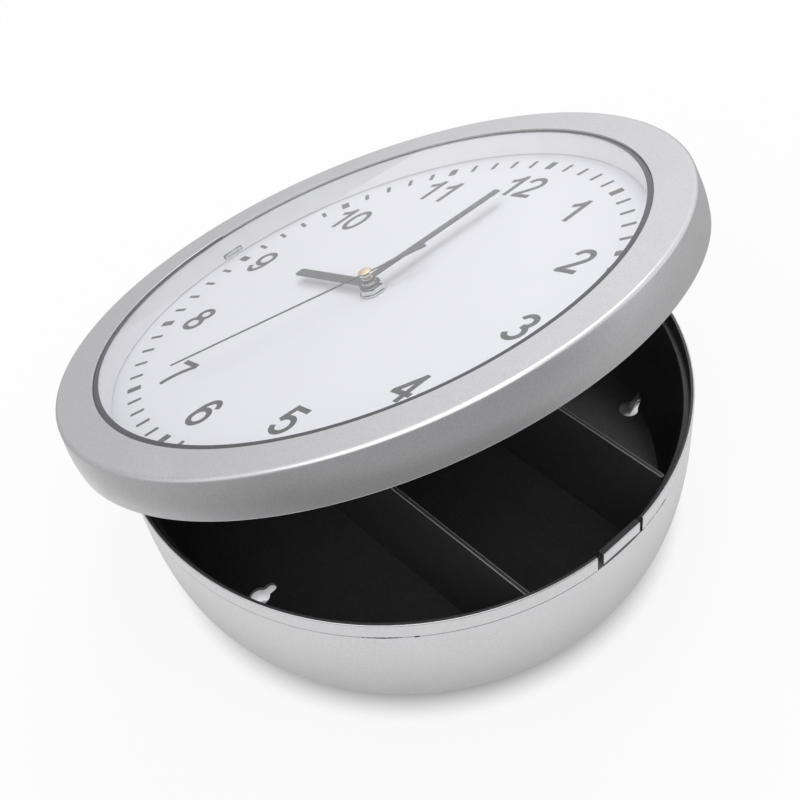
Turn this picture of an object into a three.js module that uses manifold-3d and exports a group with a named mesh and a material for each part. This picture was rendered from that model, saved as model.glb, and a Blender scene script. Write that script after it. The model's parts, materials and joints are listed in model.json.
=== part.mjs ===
// A wall clock that hides a safe: the clock face is a lid, hinged at 9 o'clock on a round back.
// Millimetres. The origin is the middle of the flat back, +Z points out of the wall,
// +Y to 12 o'clock and +X to 3 o'clock. The lid stands open, as it is stored.
import * as THREE from 'three';
import { mergeVertices } from 'three/addons/utils/BufferGeometryUtils.js';
import Module from 'manifold-3d';

const wasm = await Module();
wasm.setup();

// Fits
const seatGap = 0.3; // between a piece and the seat that it lies on
const runningGap = 0.25; // around a shaft that turns
const slideGap = 0.5; // around a shelf in its guides
const cutPast = 1; // how far a cutter runs past the face that it opens
const rootDepth = 0.5; // how far a rib or post reaches into the wall that carries it

// Back shell and inner tray
const shellDepth = 61.5;
const mouthClearance = 2.2; // between the lid's pan and the band round the mouth
const shellFlatRadius = 90;
const shellRoundness = 2.75; // exponent of the wall's curve, 2 is an ellipse
const shellWall = 2;
const floorShrink = 0.4; // how much the flat floor's radius shrinks, per mm inwards
const trayWall = 1.8;
const trayFloor = 11.5; // the tray's floor stands clear of the shell's, with a hollow between them
const bandHeight = 7.2;
const bandWall = 1.6;
const ledgeThickness = 1.2;

// Keyholes, which hang the clock on its screws
const keyholeHeadRadius = 4.2;
const keyholeSlotWidth = 4.4;
const keyholeSlotLength = 8;
const keyholePlaces = [[0, -88], [44, 88], [-44, 88]];
const keyholeCutHeight = 18; // passes both walls where they curve up

// Shelves
const shelfFromCentre = 36;
const shelfThickness = 1.8;
const shelfDrop = 7; // from the band's top edge down to a shelf's
const guideDepth = 3;
const guideWall = 1.5;
const guideTop = 46;
const wallSteps = [0, 0.04, 0.1, 0.25, 0.5, 1]; // places up the wall, closer where it bends most

// Latch
const notchWidth = 24;
const tabWidth = 19.2;
const tabShift = 0.6; // towards 12 o'clock, off the notch's middle
const tabThickness = 1.6;
const tabBelowBand = 0.6;
const tabLift = 0.9; // of the tab's lower edge, above the band's
const tabFaceInset = 0.3; // of the flat face, behind the band's round one
const lipReach = 1;
const lipThickness = 1;
const footReach = 1.6;
const footThickness = 1.2;
const noseReach = 0.65;
const noseHeight = 1;
const noseWidth = 14;

// Bezel
const skirtDepth = 16.5;
const skirtFlare = 1.1; // the skirt's lower edge stands out from the face's
const faceWidth = 15.3; // from the lens opening to the face's outer edge
const skirtWall = 2.3;
const faceThickness = 2;
const openingRadius = 111.1;
const tubeWall = 1.9;
const edgeRadius = 2; // round edge between the skirt and the face

// Lens, dial and lid back
const lensThickness = 1.3;
const lensInset = 0.3; // below the bezel's face
const dialDepth = 11.6; // from the bezel's face down to the dial
const dialThickness = 0.5;
const ringWall = 1;
const ringLean = 1.6; // how far the ring's foot leans in from its top
const panFloor = 1.6;
const panWall = 1.2;
const flangeThickness = 1.2;
const flangeClearance = 3.8; // inside the skirt
const clipWindowWidth = 10;
const clipWindowHeight = 2.2;
const clipWindowRise = 0.5; // above the ring's foot

// Screws that hold the lid back to the bezel
const screwCount = 6;
const screwInset = 2.9; // from the flange's edge
const screwFirstAngle = 30;
const screwRadius = 0.8;
const screwHeadRadius = 2.2;
const screwHeadHeight = 1.2;
const screwLength = 6;
const bossRadius = 2.8;
const pilotCover = 1; // left in front of a screw's blind hole

// Hinge at 9 o'clock
const hingeInset = 5; // from the skirt's lower edge
const hingeRise = 2.5; // in front of the back shell's edge
const hingePinRadius = 1.2;
const knuckleRadius = 3.3;
const lugWidth = 14;
const knuckleGap = 0.4;
const knuckleWidth = 7.6;
const lugArmHeight = 6;
const lugArmRun = 4; // of the arm's top edge, inwards from the pin
const lugArmAngle = 53; // below the horizontal, where the arm meets the knuckle
const knuckleRoom = 1; // in front of the lug's knuckle
const lidOpenAngle = 21.7;

// Hands, with their heights above the dial
const hourHandLength = 46.5;
const hourHandWidth = 4.6;
const hourHandHeight = 3.5;
const hourHubRadius = 4.2;
const minuteHandLength = 69;
const minuteHandWidth = 3.6;
const minuteHandHeight = 5.5;
const minuteHubRadius = 3.2;
const handThickness = 0.4;
const pipeAboveHand = 1;
const secondHandLength = 80.8;
const secondRodWidth = 0.7;
const secondHandHeight = 7.9;
const secondHubRadius = 1.3;
const secondHubDrop = 1; // of the hub, below the rod
const weightStart = 10;
const weightEnd = 30;
const weightWidth = 2.2;
const capRadius = 2.8;
const capFootRadius = 2.4;
const capTopRadius = 2.25;
const capRimHeight = 0.45;
const capThickness = 1.1;
const hourAngle = 265.9; // clockwise from 12 o'clock, in degrees
const minuteAngle = 1.2;
const secondAngle = 203.6;

// Movement case; depths run back from its front face, down into the safe
const caseWidth = 56;
const caseTop = 26; // above the shaft
const caseBottom = 30; // below the shaft
const caseDepth = 16;
const caseWall = 1.4;
const caseCorner = 3;
const coverThickness = 1.4;
const bayWall = 1;
const cornerPostRadius = 2;
const corePostRadius = 1.2;
const boardPostRadius = 1;
const postClearance = 0.6; // from a front post's end to the wheel behind it
const pivotDepth = 0.7; // of an arbor's front end in its post
const socketDepth = 1;
const rearBossHeight = 1.4;
const collarRadius = 3.2;
const collarWall = 0.65;
const nutWidth = 8.8; // across the flats
const nutHeight = 1.6;
const washerRadius = 5.2;
const washerThickness = 0.4;

// Cell and its contacts
const cellRadius = 7.1;
const cellLength = 49;
const cellNubRadius = 2.7;
const cellBaseRadius = 3.7; // where the negative contact touches
const cellNubLength = 1;
const contactThickness = 0.4;
const contactWidth = 9;
const contactHeight = 10;

// Shafts
const secondShaftRadius = 0.55;
const pipeWall = 0.6;
const arborRadius = 0.45;
const socketWall = 0.4;
const settingShaftRadius = 1;
const knobRadius = 5;
const knobHeight = 3;

// Wheels: teeth, and modules in millimetres
const toothTip = 0.8; // tooth height outside the pitch circle, in modules
const toothRoot = 1.35; // tooth depth inside the pitch circle, in modules
const toothTipShare = 0.1; // half a tooth's width, as a share of the pitch
const toothRootShare = 0.24;
const leafCount = 6; // teeth of each small pinion
const rotorModule = 0.42;
const fifthTeeth = 30;
const fifthModule = 0.58;
const secondTeeth = 36;
const thirdModule = 0.46;
const thirdTeeth = 45;
const centreTeeth = 48;
const motionModule = 0.44;
const cannonTeeth = 12;
const minuteTeeth = 36;
const minutePinionTeeth = 10;
const hourTeeth = 40;
const settingTeeth = 12;
const wheelThickness = 0.8;
const motionThickness = 1;
const pinionOverhang = 0.1; // a pinion is a little wider than its wheel
const motionDepth = 0.4; // from the case's inner face back to the hour wheel
const layerGap = 0.4; // between motion wheels
const trainGap = 0.7; // between train wheels
const magnetRadius = 2.6;
const magnetThickness = 2;
const statorThickness = 0.8;
const statorGap = 0.8;
const statorRim = 1.5; // around the magnet's hole
const statorLegWidth = 4.5;
const archWidth = 2.6;
const archRise = 2.4; // from the magnet's side to the far leg
const archClearance = 2.2; // above the fifth wheel's arbor

// Directions from one shaft to the next, in degrees from 3 o'clock, anticlockwise
const thirdDirection = 30;
const fifthDirection = 125;
const rotorDirection = 200;
const minuteWheelDirection = -25;
const settingDirection = 12;

// Coil, circuit board and crystal
const coilFromShaft = 20.3;
const coilCentreX = -10;
const coilLength = 14;
const coilRadius = 3;
const bobbinFlangeRadius = 3.3;
const bobbinFlange = 0.8;
const coreLength = 27;
const coreWidth = 3;
const coreThickness = 0.8;
const boardWidth = 17;
const boardHeight = 6.4;
const boardThickness = 1;
const boardCentreX = 13.4;
const boardPostSpacing = 13;
const chipRadius = 2.4;
const chipHeight = 0.7;
const crystalRadius = 1;
const crystalLength = 6;

const ringSegments = 56;
const shaftSegments = 16;
const smallSegments = 12;
const cellSegments = 24;

// Radii and heights that follow from the sizes above
const faceRadius = openingRadius + faceWidth;
const skirtRadius = faceRadius + skirtFlare;
const flangeRadius = faceRadius - skirtWall - flangeClearance;
const screwCircleRadius = flangeRadius - screwInset;
const ringTopRadius = openingRadius - seatGap;
const ringFootRadius = ringTopRadius - ringWall - ringLean;
const panInnerRadius = ringFootRadius + ringWall + seatGap;
const panRadius = panInnerRadius + panWall;
const shellMouthRadius = panRadius + mouthClearance + bandWall;
const bandBottom = shellDepth + seatGap;
const bandTop = bandBottom + bandHeight;
const bandInnerRadius = shellMouthRadius - bandWall;
const trayOutside = shellWall + seatGap;
const trayInside = trayOutside + trayWall;
const ledgeTop = bandBottom + ledgeThickness;
const lidFace = shellDepth + skirtDepth;
const lensTop = lidFace - lensInset;
const lensBottom = lensTop - lensThickness;
const dialTop = lidFace - dialDepth;
const dialBottom = dialTop - dialThickness;
const panTop = dialBottom - seatGap;
const panBottom = panTop - panFloor;
const flangeBottom = bandTop + seatGap;
const flangeTop = flangeBottom + flangeThickness;
const ringTop = lensBottom - seatGap;
const tubeBottom = flangeTop + seatGap;
const caseFront = panBottom - seatGap;
const hinge = new THREE.Vector3(hingeInset - skirtRadius, 0, shellDepth + hingeRise);

// Radii of the nested shafts, from the middle out
const minuteBore = secondShaftRadius + runningGap;
const minutePipeRadius = minuteBore + pipeWall;
const hourBore = minutePipeRadius + runningGap;
const hourPipeRadius = hourBore + pipeWall;
const collarBore = collarRadius - collarWall;
const socketRadius = arborRadius + runningGap;
const postRadius = socketRadius + socketWall;

const radians = THREE.MathUtils.degToRad;
const behind = (depth) => caseFront - depth;

// Closed three.js geometry as a solid that can be joined and cut.
function solid(geometry) {
  geometry.deleteAttribute('normal');
  geometry.deleteAttribute('uv');
  const merged = mergeVertices(geometry, 1e-4);
  const corners = merged.index.array;
  const triVerts = [];
  for (let i = 0; i < corners.length; i += 3) {
    const [a, b, c] = corners.slice(i, i + 3);
    if (a !== b && b !== c && c !== a) triVerts.push(a, b, c);
  }
  const vertProperties = merged.attributes.position.array;
  return new wasm.Manifold(
    new wasm.Mesh({ numProp: 3, vertProperties, triVerts: new Uint32Array(triVerts) })
  );
}

// Profile of [radius, height] points turned about the Z axis.
function turned(points, segments = shaftSegments) {
  const area = points.reduce((sum, [r, z], i) => {
    const [nextR, nextZ] = points[(i + 1) % points.length];
    return sum + r * nextZ - nextR * z;
  }, 0);
  const ordered = area > 0 ? points : [...points].reverse();
  const startsOnAxis = points[0][0] === 0;
  const closed = startsOnAxis ? ordered : [...ordered, ordered[0]];
  const profile = closed.map(([r, z]) => new THREE.Vector2(r, z));
  return solid(new THREE.LatheGeometry(profile, segments).rotateX(Math.PI / 2));
}

const disc = (radius, low, high, segments = shaftSegments) =>
  turned([[0, low], [radius, low], [radius, high], [0, high]], segments);

const tube = (inner, outer, low, high, segments = shaftSegments) =>
  turned([[inner, low], [outer, low], [outer, high], [inner, high]], segments);

// Upright peg away from the Z axis.
function peg(x, y, radius, low, high, segments = smallSegments) {
  const geometry = new THREE.CylinderGeometry(radius, radius, high - low, segments);
  return solid(geometry.rotateX(Math.PI / 2).translate(x, y, (low + high) / 2));
}

// Peg along Y, for the hinge.
function crossPeg(x, z, radius, fromY, toY, segments = shaftSegments) {
  const geometry = new THREE.CylinderGeometry(radius, radius, toY - fromY, segments);
  return solid(geometry.translate(x, (fromY + toY) / 2, z));
}

function block([x0, x1], [y0, y1], [z0, z1]) {
  const geometry = new THREE.BoxGeometry(x1 - x0, y1 - y0, z1 - z0);
  return solid(geometry.translate((x0 + x1) / 2, (y0 + y1) / 2, (z0 + z1) / 2));
}

// Flat outline of [x, y] points, or a shape, standing between two heights.
function plate(outline, low, high) {
  const shape = Array.isArray(outline)
    ? new THREE.Shape(outline.map(([x, y]) => new THREE.Vector2(x, y)))
    : outline;
  const geometry = new THREE.ExtrudeGeometry(shape, {
    depth: high - low, bevelEnabled: false, curveSegments: 4,
  });
  return solid(geometry.translate(0, 0, low));
}

// Outline of [x, z] points, standing between two places along Y.
function sidePlate(points, fromY, toY) {
  const shape = new THREE.Shape(points.map(([x, z]) => new THREE.Vector2(x, z)));
  const geometry = new THREE.ExtrudeGeometry(shape, { depth: toY - fromY, bevelEnabled: false });
  return solid(geometry.rotateX(Math.PI / 2).translate(0, toY, 0));
}

function roundedBox(x0, x1, y0, y1, corner) {
  const shape = new THREE.Shape();
  shape.moveTo(x0 + corner, y0);
  shape.lineTo(x1 - corner, y0).absarc(x1 - corner, y0 + corner, corner, -Math.PI / 2, 0);
  shape.lineTo(x1, y1 - corner).absarc(x1 - corner, y1 - corner, corner, 0, Math.PI / 2);
  shape.lineTo(x0 + corner, y1).absarc(x0 + corner, y1 - corner, corner, Math.PI / 2, Math.PI);
  shape.lineTo(x0, y0 + corner).absarc(x0 + corner, y0 + corner, corner, Math.PI, Math.PI * 1.5);
  return shape;
}

const joined = (solids) => solids.reduce((whole, next) => whole.add(next));
const cutBy = (whole, solids) => solids.reduce((left, next) => left.subtract(next), whole);
const away = ([x, y], distance, degrees) => [
  x + distance * Math.cos(radians(degrees)), y + distance * Math.sin(radians(degrees)),
];

const looks = {
  silver: { color: 0xc4c5c8, roughness: 0.45, metalness: 0.6 },
  black: { color: 0x161618, roughness: 0.75, metalness: 0 },
  white: { color: 0xf1f1f5, roughness: 0.6, metalness: 0 },
  lightWall: { color: 0xdfe0e4, roughness: 0.35, metalness: 0 },
  clear: { color: 0xf4f8fa, roughness: 0.05, metalness: 0, transparent: true, opacity: 0.25 },
  grey: { color: 0x7c7c80, roughness: 0.5, metalness: 0.2 },
  steel: { color: 0xb9bbbf, roughness: 0.3, metalness: 1 },
  gold: { color: 0xe6c08a, roughness: 0.3, metalness: 1 },
  brass: { color: 0xc9a65a, roughness: 0.35, metalness: 1 },
  copper: { color: 0xb5653a, roughness: 0.4, metalness: 1 },
  nylon: { color: 0xe8e6df, roughness: 0.5, metalness: 0 },
  board: { color: 0x2f6b3f, roughness: 0.6, metalness: 0 },
  cell: { color: 0x4b6f9c, roughness: 0.4, metalness: 0.3 },
};

function addPiece(group, name, whole, look) {
  const { vertProperties, triVerts } = whole.getMesh();
  const geometry = new THREE.BufferGeometry();
  geometry.setAttribute('position', new THREE.BufferAttribute(vertProperties, 3));
  geometry.setIndex(new THREE.BufferAttribute(triVerts, 1));
  geometry.computeVertexNormals();
  const mesh = new THREE.Mesh(geometry, new THREE.MeshStandardMaterial(looks[look]));
  mesh.name = name;
  group.add(mesh);
  return mesh;
}

// The bowl's curve, moved inwards from the outer surface by an offset.
function bowlCurve(offset, steps = 5) {
  const flat = shellFlatRadius - offset * floorShrink;
  const reach = shellMouthRadius - offset - flat;
  return Array.from({ length: steps + 1 }, (_, i) => {
    const turn = (i / steps) * Math.PI / 2;
    const out = Math.pow(Math.sin(turn), 2 / shellRoundness);
    const up = 1 - Math.pow(Math.max(Math.cos(turn), 0), 2 / shellRoundness);
    return [flat + reach * out, offset + (shellDepth - offset) * up];
  });
}

// Radius of that curve at a height, read off its straight steps.
function bowlRadius(offset, height) {
  const curve = bowlCurve(offset);
  const above = curve.findIndex(([, z]) => z >= height);
  if (above < 0) return curve[curve.length - 1][0];
  if (above === 0) return curve[0][0];
  const [[lowR, lowZ], [highR, highZ]] = [curve[above - 1], curve[above]];
  return lowR + (highR - lowR) * (height - lowZ) / (highZ - lowZ);
}

// The curve's part above a flat floor, with the point where it meets the floor.
function curveAbove(offset, floor) {
  return [[bowlRadius(offset, floor), floor], ...bowlCurve(offset).filter(([, z]) => z > floor)];
}

// Back shell

function keyholes() {
  const half = keyholeSlotWidth / 2;
  const span = [-cutPast, keyholeCutHeight];
  return keyholePlaces.flatMap(([x, y]) => [
    peg(x, y, keyholeHeadRadius, ...span, shaftSegments),
    block([x - half, x + half], [y, y + keyholeSlotLength], span),
  ]);
}

function hingeLug() {
  const armTop = shellDepth - seatGap;
  const wallX = -bowlRadius(shellWall / 2, armTop - lugArmHeight);
  const sideX = knuckleRadius * Math.cos(radians(lugArmAngle));
  const underZ = hinge.z - knuckleRadius * Math.sin(radians(lugArmAngle));
  const arm = [
    [wallX, armTop], [wallX, armTop - lugArmHeight], [hinge.x + sideX, underZ],
    [hinge.x - sideX, underZ], [hinge.x, hinge.z], [hinge.x + lugArmRun, armTop],
  ];
  return joined([
    sidePlate(arm, -lugWidth / 2, lugWidth / 2),
    crossPeg(hinge.x, hinge.z, knuckleRadius, -lugWidth / 2, lugWidth / 2),
  ]);
}

const hingeReach = lugWidth / 2 + knuckleGap + knuckleWidth;
const hingeBore = () => crossPeg(
  hinge.x, hinge.z, hingePinRadius + runningGap, -hingeReach - cutPast, hingeReach + cutPast
);

function backShell() {
  const outside = bowlCurve(0);
  const inside = bowlCurve(shellWall).reverse();
  const bowl = turned([[0, 0], ...outside, ...inside, [0, shellWall]], ringSegments);
  return cutBy(bowl.add(hingeLug()), [...keyholes(), hingeBore()]);
}

// Inner tray, with the band round the safe's mouth

function trayBody() {
  const outside = curveAbove(trayOutside, trayFloor - trayWall);
  const inside = curveAbove(trayInside, trayFloor).reverse();
  const innerRadius = inside[0][0];
  return turned([
    [0, trayFloor - trayWall], ...outside,
    [outside[outside.length - 1][0], bandBottom], [shellMouthRadius, bandBottom],
    [shellMouthRadius, bandTop], [bandInnerRadius, bandTop],
    [bandInnerRadius, ledgeTop], [innerRadius, ledgeTop],
    ...inside, [0, trayFloor],
  ], ringSegments);
}

// Ribs on the tray's wall that hold a shelf's two ends.
function shelfGuides(shelfY) {
  const foot = trayFloor - rootDepth;
  const heights = wallSteps.map((t) => foot + (guideTop - foot) * t);
  return [1, -1].flatMap((side) => {
    const nearFace = shelfY + side * (shelfThickness / 2 + slideGap / 2);
    const farFace = nearFace + side * guideWall;
    const y = Math.max(Math.abs(nearFace), Math.abs(farFace));
    const wallAt = (z) => Math.sqrt(bowlRadius(trayInside - trayWall / 2, z) ** 2 - y * y);
    const [fromY, toY] = [nearFace, farFace].sort((a, b) => a - b);
    return [1, -1].map((end) => {
      const outer = heights.map((z) => [end * wallAt(z), z]);
      const inner = heights.map((z) => [end * (wallAt(z) - guideDepth), z]).reverse();
      return sidePlate([...outer, ...inner], fromY, toY);
    });
  });
}

function innerTray() {
  const whole = joined([
    trayBody(), ...shelfGuides(shelfFromCentre), ...shelfGuides(-shelfFromCentre),
  ]);
  const notch = block(
    [shellMouthRadius - tabFaceInset - tabThickness - seatGap, shellMouthRadius + cutPast],
    [-notchWidth / 2, notchWidth / 2], [bandBottom - seatGap / 2, bandTop + cutPast]
  );
  return cutBy(whole, [notch, ...keyholes()]);
}

function shelf(shelfY) {
  const bottom = trayFloor + seatGap;
  const top = bandTop - shelfDrop;
  const y = Math.abs(shelfY) + shelfThickness / 2;
  const endAt = (z) => Math.sqrt(bowlRadius(trayInside, z) ** 2 - y * y) - slideGap;
  const heights = wallSteps.map((t) => bottom + (top - bottom) * t);
  const right = heights.map((z) => [endAt(z), z]);
  const left = heights.map((z) => [-endAt(z), z]).reverse();
  return sidePlate([...right, ...left], shelfY - shelfThickness / 2, shelfY + shelfThickness / 2);
}

// Latch tab: a flat tongue with a foot on the tray's ledge and a lip inside its top edge.
function latchTab() {
  const face = shellMouthRadius - tabFaceInset;
  const back = face - tabThickness;
  const top = bandTop - tabBelowBand;
  const footBottom = ledgeTop + seatGap;
  const outline = [
    [back - footReach, footBottom], [back, footBottom], [back, bandBottom + tabLift],
    [face, bandBottom + tabLift], [face, top], [back - lipReach, top],
    [back - lipReach, top - lipThickness], [back, top - lipThickness],
    [back, footBottom + footThickness], [back - footReach, footBottom + footThickness],
  ];
  return sidePlate(outline, tabShift - tabWidth / 2, tabShift + tabWidth / 2);
}

const hingePin = () => crossPeg(hinge.x, hinge.z, hingePinRadius, -hingeReach, hingeReach);

// Bezel

function bezelRing() {
  const faceEdge = Array.from({ length: 4 }, (_, i) => {
    const turn = radians(30 * i);
    return [
      faceRadius - edgeRadius + edgeRadius * Math.cos(turn),
      lidFace - edgeRadius + edgeRadius * Math.sin(turn),
    ];
  });
  return turned([
    [skirtRadius - skirtWall, shellDepth], [skirtRadius, shellDepth], ...faceEdge,
    [openingRadius, lidFace], [openingRadius, tubeBottom], [openingRadius + tubeWall, tubeBottom],
    [openingRadius + tubeWall, lidFace - faceThickness],
    [faceRadius - skirtWall - edgeRadius / 2, lidFace - faceThickness],
    [faceRadius - skirtWall, lidFace - faceThickness - edgeRadius / 2],
  ], ringSegments);
}

// Knuckle on the bezel, one on each side of the back shell's lug.
function bezelKnuckle(side) {
  const nearY = side * (lugWidth / 2 + knuckleGap);
  const farY = nearY + side * knuckleWidth;
  const [fromY, toY] = [nearY, farY].sort((a, b) => a - b);
  const blockOutside = -Math.sqrt(skirtRadius ** 2 - farY * farY) + skirtWall / 2;
  const web = block(
    [blockOutside, -flangeRadius - seatGap], [fromY, toY], [hinge.z, lidFace - faceThickness / 2]
  );
  return joined([crossPeg(hinge.x, hinge.z, knuckleRadius, fromY, toY), web]);
}

const screwPlaces = Array.from({ length: screwCount }, (_, i) =>
  away([0, 0], screwCircleRadius, screwFirstAngle + i * 360 / screwCount));

function bezel() {
  const bosses = screwPlaces.map(([x, y]) =>
    peg(x, y, bossRadius, tubeBottom, lidFace - faceThickness / 2));
  const pilots = screwPlaces.map(([x, y]) =>
    peg(x, y, screwRadius + seatGap, tubeBottom - cutPast, lidFace - faceThickness - pilotCover));
  const lugRoom = block(
    [-skirtRadius - cutPast, hinge.x + knuckleRadius],
    [-lugWidth / 2 - knuckleGap, lugWidth / 2 + knuckleGap],
    [shellDepth - cutPast, hinge.z + knuckleRadius + knuckleRoom]
  );
  const ring = bezelRing().subtract(lugRoom);
  const whole = joined([ring, bezelKnuckle(1), bezelKnuckle(-1), ...bosses]);
  return cutBy(whole, [...pilots, hingeBore()]);
}

// Lens, dial ring, dial and lid back

const lens = () => disc(ringTopRadius, lensBottom, lensTop, ringSegments);

function dialRing() {
  const ring = turned([
    [ringFootRadius, dialTop + seatGap], [ringFootRadius + ringWall, dialTop + seatGap],
    [ringFootRadius + ringWall, tubeBottom], [ringTopRadius, tubeBottom],
    [ringTopRadius, ringTop], [ringTopRadius - ringWall, ringTop],
  ], ringSegments);
  const windowLow = dialTop + seatGap + clipWindowRise;
  return ring.subtract(block(
    [-openingRadius, -ringFootRadius + ringWall], [-clipWindowWidth / 2, clipWindowWidth / 2],
    [windowLow, windowLow + clipWindowHeight]
  ));
}

const dialPlate = () => tube(
  collarRadius + seatGap, ringFootRadius + ringWall, dialBottom, dialTop, ringSegments
);

// Pan behind the dial, with a flange that is screwed up into the bezel.
function lidBack() {
  const pan = turned([
    [collarRadius + seatGap, panBottom], [panRadius, panBottom], [panRadius, flangeBottom],
    [flangeRadius, flangeBottom], [flangeRadius, flangeTop], [panInnerRadius, flangeTop],
    [panInnerRadius, panTop], [collarRadius + seatGap, panTop],
  ], ringSegments);
  const lipUnderside = bandTop - tabBelowBand - lipThickness;
  const nose = block(
    [panRadius - panWall / 2, panRadius + noseReach], [-noseWidth / 2, noseWidth / 2],
    [lipUnderside - seatGap - noseHeight, lipUnderside - seatGap]
  );
  const holes = screwPlaces.map(([x, y]) =>
    peg(x, y, screwRadius + seatGap, flangeBottom - cutPast, flangeTop + cutPast));
  return cutBy(pan.add(nose), holes);
}

function lidScrew([x, y]) {
  const headTop = flangeBottom - seatGap;
  return joined([
    peg(x, y, screwHeadRadius, headTop - screwHeadHeight, headTop),
    peg(x, y, screwRadius, headTop - screwHeadHeight / 2, headTop + screwLength),
  ]);
}

// Wheels

// Tooth 0 of the first wheel lies at phase; this gives the second wheel's phase in mesh with it.
function meshedPhase(phase, teeth, otherTeeth, direction) {
  const place = (direction - phase) * teeth / 360;
  return direction + 180 - (0.5 - place) * 360 / otherTeeth;
}

function toothed(teeth, module, phase, low, high, bore = 0) {
  const pitchRadius = teeth * module / 2;
  const tip = pitchRadius + toothTip * module;
  const root = pitchRadius - toothRoot * module;
  const leaf = [
    [root, -toothRootShare], [tip, -toothTipShare], [tip, toothTipShare], [root, toothRootShare],
  ];
  const wheelTooth = [[tip, -toothTipShare / 2], [tip, toothTipShare / 2], [root, 0.5]];
  const corners = teeth < fifthTeeth ? leaf : wheelTooth;
  const shape = new THREE.Shape(Array.from({ length: teeth }, (_, i) => corners.map(([r, share]) => {
    const angle = radians(phase) + (i + share) * 2 * Math.PI / teeth;
    return new THREE.Vector2(r * Math.cos(angle), r * Math.sin(angle));
  })).flat());
  if (bore > 0) shape.holes.push(new THREE.Path().absarc(0, 0, bore, 0, 2 * Math.PI, true));
  return plate(shape, low, high);
}

const pitchDistance = (teeth, otherTeeth, module) => (teeth + otherTeeth) * module / 2;

// Shafts' places, seen from the front, and the modules that the shared distances fix.
const thirdDistance = pitchDistance(leafCount, thirdTeeth, thirdModule);
const centreModule = thirdDistance * 2 / (leafCount + centreTeeth);
const motionDistance = pitchDistance(cannonTeeth, minuteTeeth, motionModule);
const hourModule = motionDistance * 2 / (minutePinionTeeth + hourTeeth);
const thirdPlace = away([0, 0], thirdDistance, thirdDirection);
const fifthPlace = away([0, 0], pitchDistance(leafCount, secondTeeth, fifthModule), fifthDirection);
const rotorPlace = away(fifthPlace, pitchDistance(leafCount, fifthTeeth, rotorModule), rotorDirection);
const minuteWheelPlace = away([0, 0], motionDistance, minuteWheelDirection);
const settingPlace = away(
  minuteWheelPlace, pitchDistance(settingTeeth, minuteTeeth, motionModule), settingDirection
);

// Depths of the wheels behind the case's front, one layer after another.
const layer = (start, thickness) => ({ front: start, back: start + thickness });
const hourLayer = layer(caseWall + motionDepth, motionThickness);
const minuteLayer = layer(hourLayer.back + layerGap, motionThickness);
const centreLayer = layer(minuteLayer.back + trainGap, wheelThickness);
const thirdLayer = layer(centreLayer.back + trainGap, wheelThickness);
const secondLayer = layer(thirdLayer.back + trainGap, wheelThickness);
const fifthLayer = layer(secondLayer.back + trainGap, wheelThickness);
const magnetLayer = layer(fifthLayer.back + trainGap, magnetThickness);
const statorLayer = layer(magnetLayer.front + (magnetThickness - statorThickness) / 2, statorThickness);
const coverFront = caseDepth - coverThickness;
const rearPivot = coverFront - seatGap;
const rearBoss = coverFront - rearBossHeight;
const pinionSpan = ({ front, back }) => [behind(back + pinionOverhang), behind(front - pinionOverhang)];
const wheelSpan = ({ front, back }) => [behind(back), behind(front)];

// Wheel and pinion on one arbor, about the Z axis.
function trainWheel({ teeth, module, phase, span }, { leafModule, leafPhase, leafSpan }, frontDepth) {
  return joined([
    toothed(teeth, module, phase, ...span),
    toothed(leafCount, leafModule, leafPhase, ...leafSpan),
    disc(arborRadius, behind(rearPivot), behind(frontDepth), smallSegments),
  ]);
}

const postTops = {
  third: centreLayer.front - postClearance,
  fifth: secondLayer.front - postClearance,
  rotor: fifthLayer.front - postClearance,
};

function rotor() {
  const phase = meshedPhase(rotorDirection, fifthTeeth, leafCount, rotorDirection);
  return joined([
    toothed(
      leafCount, rotorModule, phase, behind(magnetLayer.front), behind(fifthLayer.front - pinionOverhang)
    ),
    disc(magnetRadius, ...wheelSpan(magnetLayer)),
    disc(arborRadius, behind(rearPivot), behind(postTops.rotor - pivotDepth), smallSegments),
  ]);
}

function fifthWheel() {
  const leafPhase = meshedPhase(fifthDirection, secondTeeth, leafCount, fifthDirection);
  return trainWheel(
    { teeth: fifthTeeth, module: rotorModule, phase: rotorDirection, span: wheelSpan(fifthLayer) },
    { leafModule: fifthModule, leafPhase, leafSpan: pinionSpan(secondLayer) },
    postTops.fifth - pivotDepth
  );
}

function thirdWheel() {
  const leafPhase = meshedPhase(thirdDirection, centreTeeth, leafCount, thirdDirection);
  return trainWheel(
    { teeth: thirdTeeth, module: thirdModule, phase: thirdDirection + 180, span: wheelSpan(thirdLayer) },
    { leafModule: centreModule, leafPhase, leafSpan: pinionSpan(centreLayer) },
    postTops.third - pivotDepth
  );
}

const secondHubTop = secondHandHeight + handThickness;

function secondWheel() {
  const leafPhase = meshedPhase(thirdDirection + 180, thirdTeeth, leafCount, thirdDirection + 180);
  return joined([
    toothed(secondTeeth, fifthModule, fifthDirection, ...wheelSpan(secondLayer)),
    toothed(leafCount, thirdModule, leafPhase, ...pinionSpan(thirdLayer)),
    disc(secondShaftRadius, behind(rearPivot), dialTop + secondHubTop, smallSegments),
  ]);
}

const clutchBack = centreLayer.back + trainGap / 2;

const centreWheel = () => toothed(
  centreTeeth, centreModule, thirdDirection, ...wheelSpan(centreLayer), minutePipeRadius + runningGap
);

const minutePipeTop = dialTop + minuteHandHeight + pipeAboveHand;
const hourPipeTop = dialTop + hourHandHeight + pipeAboveHand;
const minuteWheelPhase = minuteWheelDirection + 180;

function minuteArbor() {
  const phase = meshedPhase(minuteWheelPhase, minuteTeeth, cannonTeeth, minuteWheelDirection + 180);
  const pipe = tube(minuteBore, minutePipeRadius, behind(clutchBack), minutePipeTop);
  const cannonBore = minuteBore + pipeWall / 2;
  return pipe.add(toothed(cannonTeeth, motionModule, phase, ...pinionSpan(minuteLayer), cannonBore));
}

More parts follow.
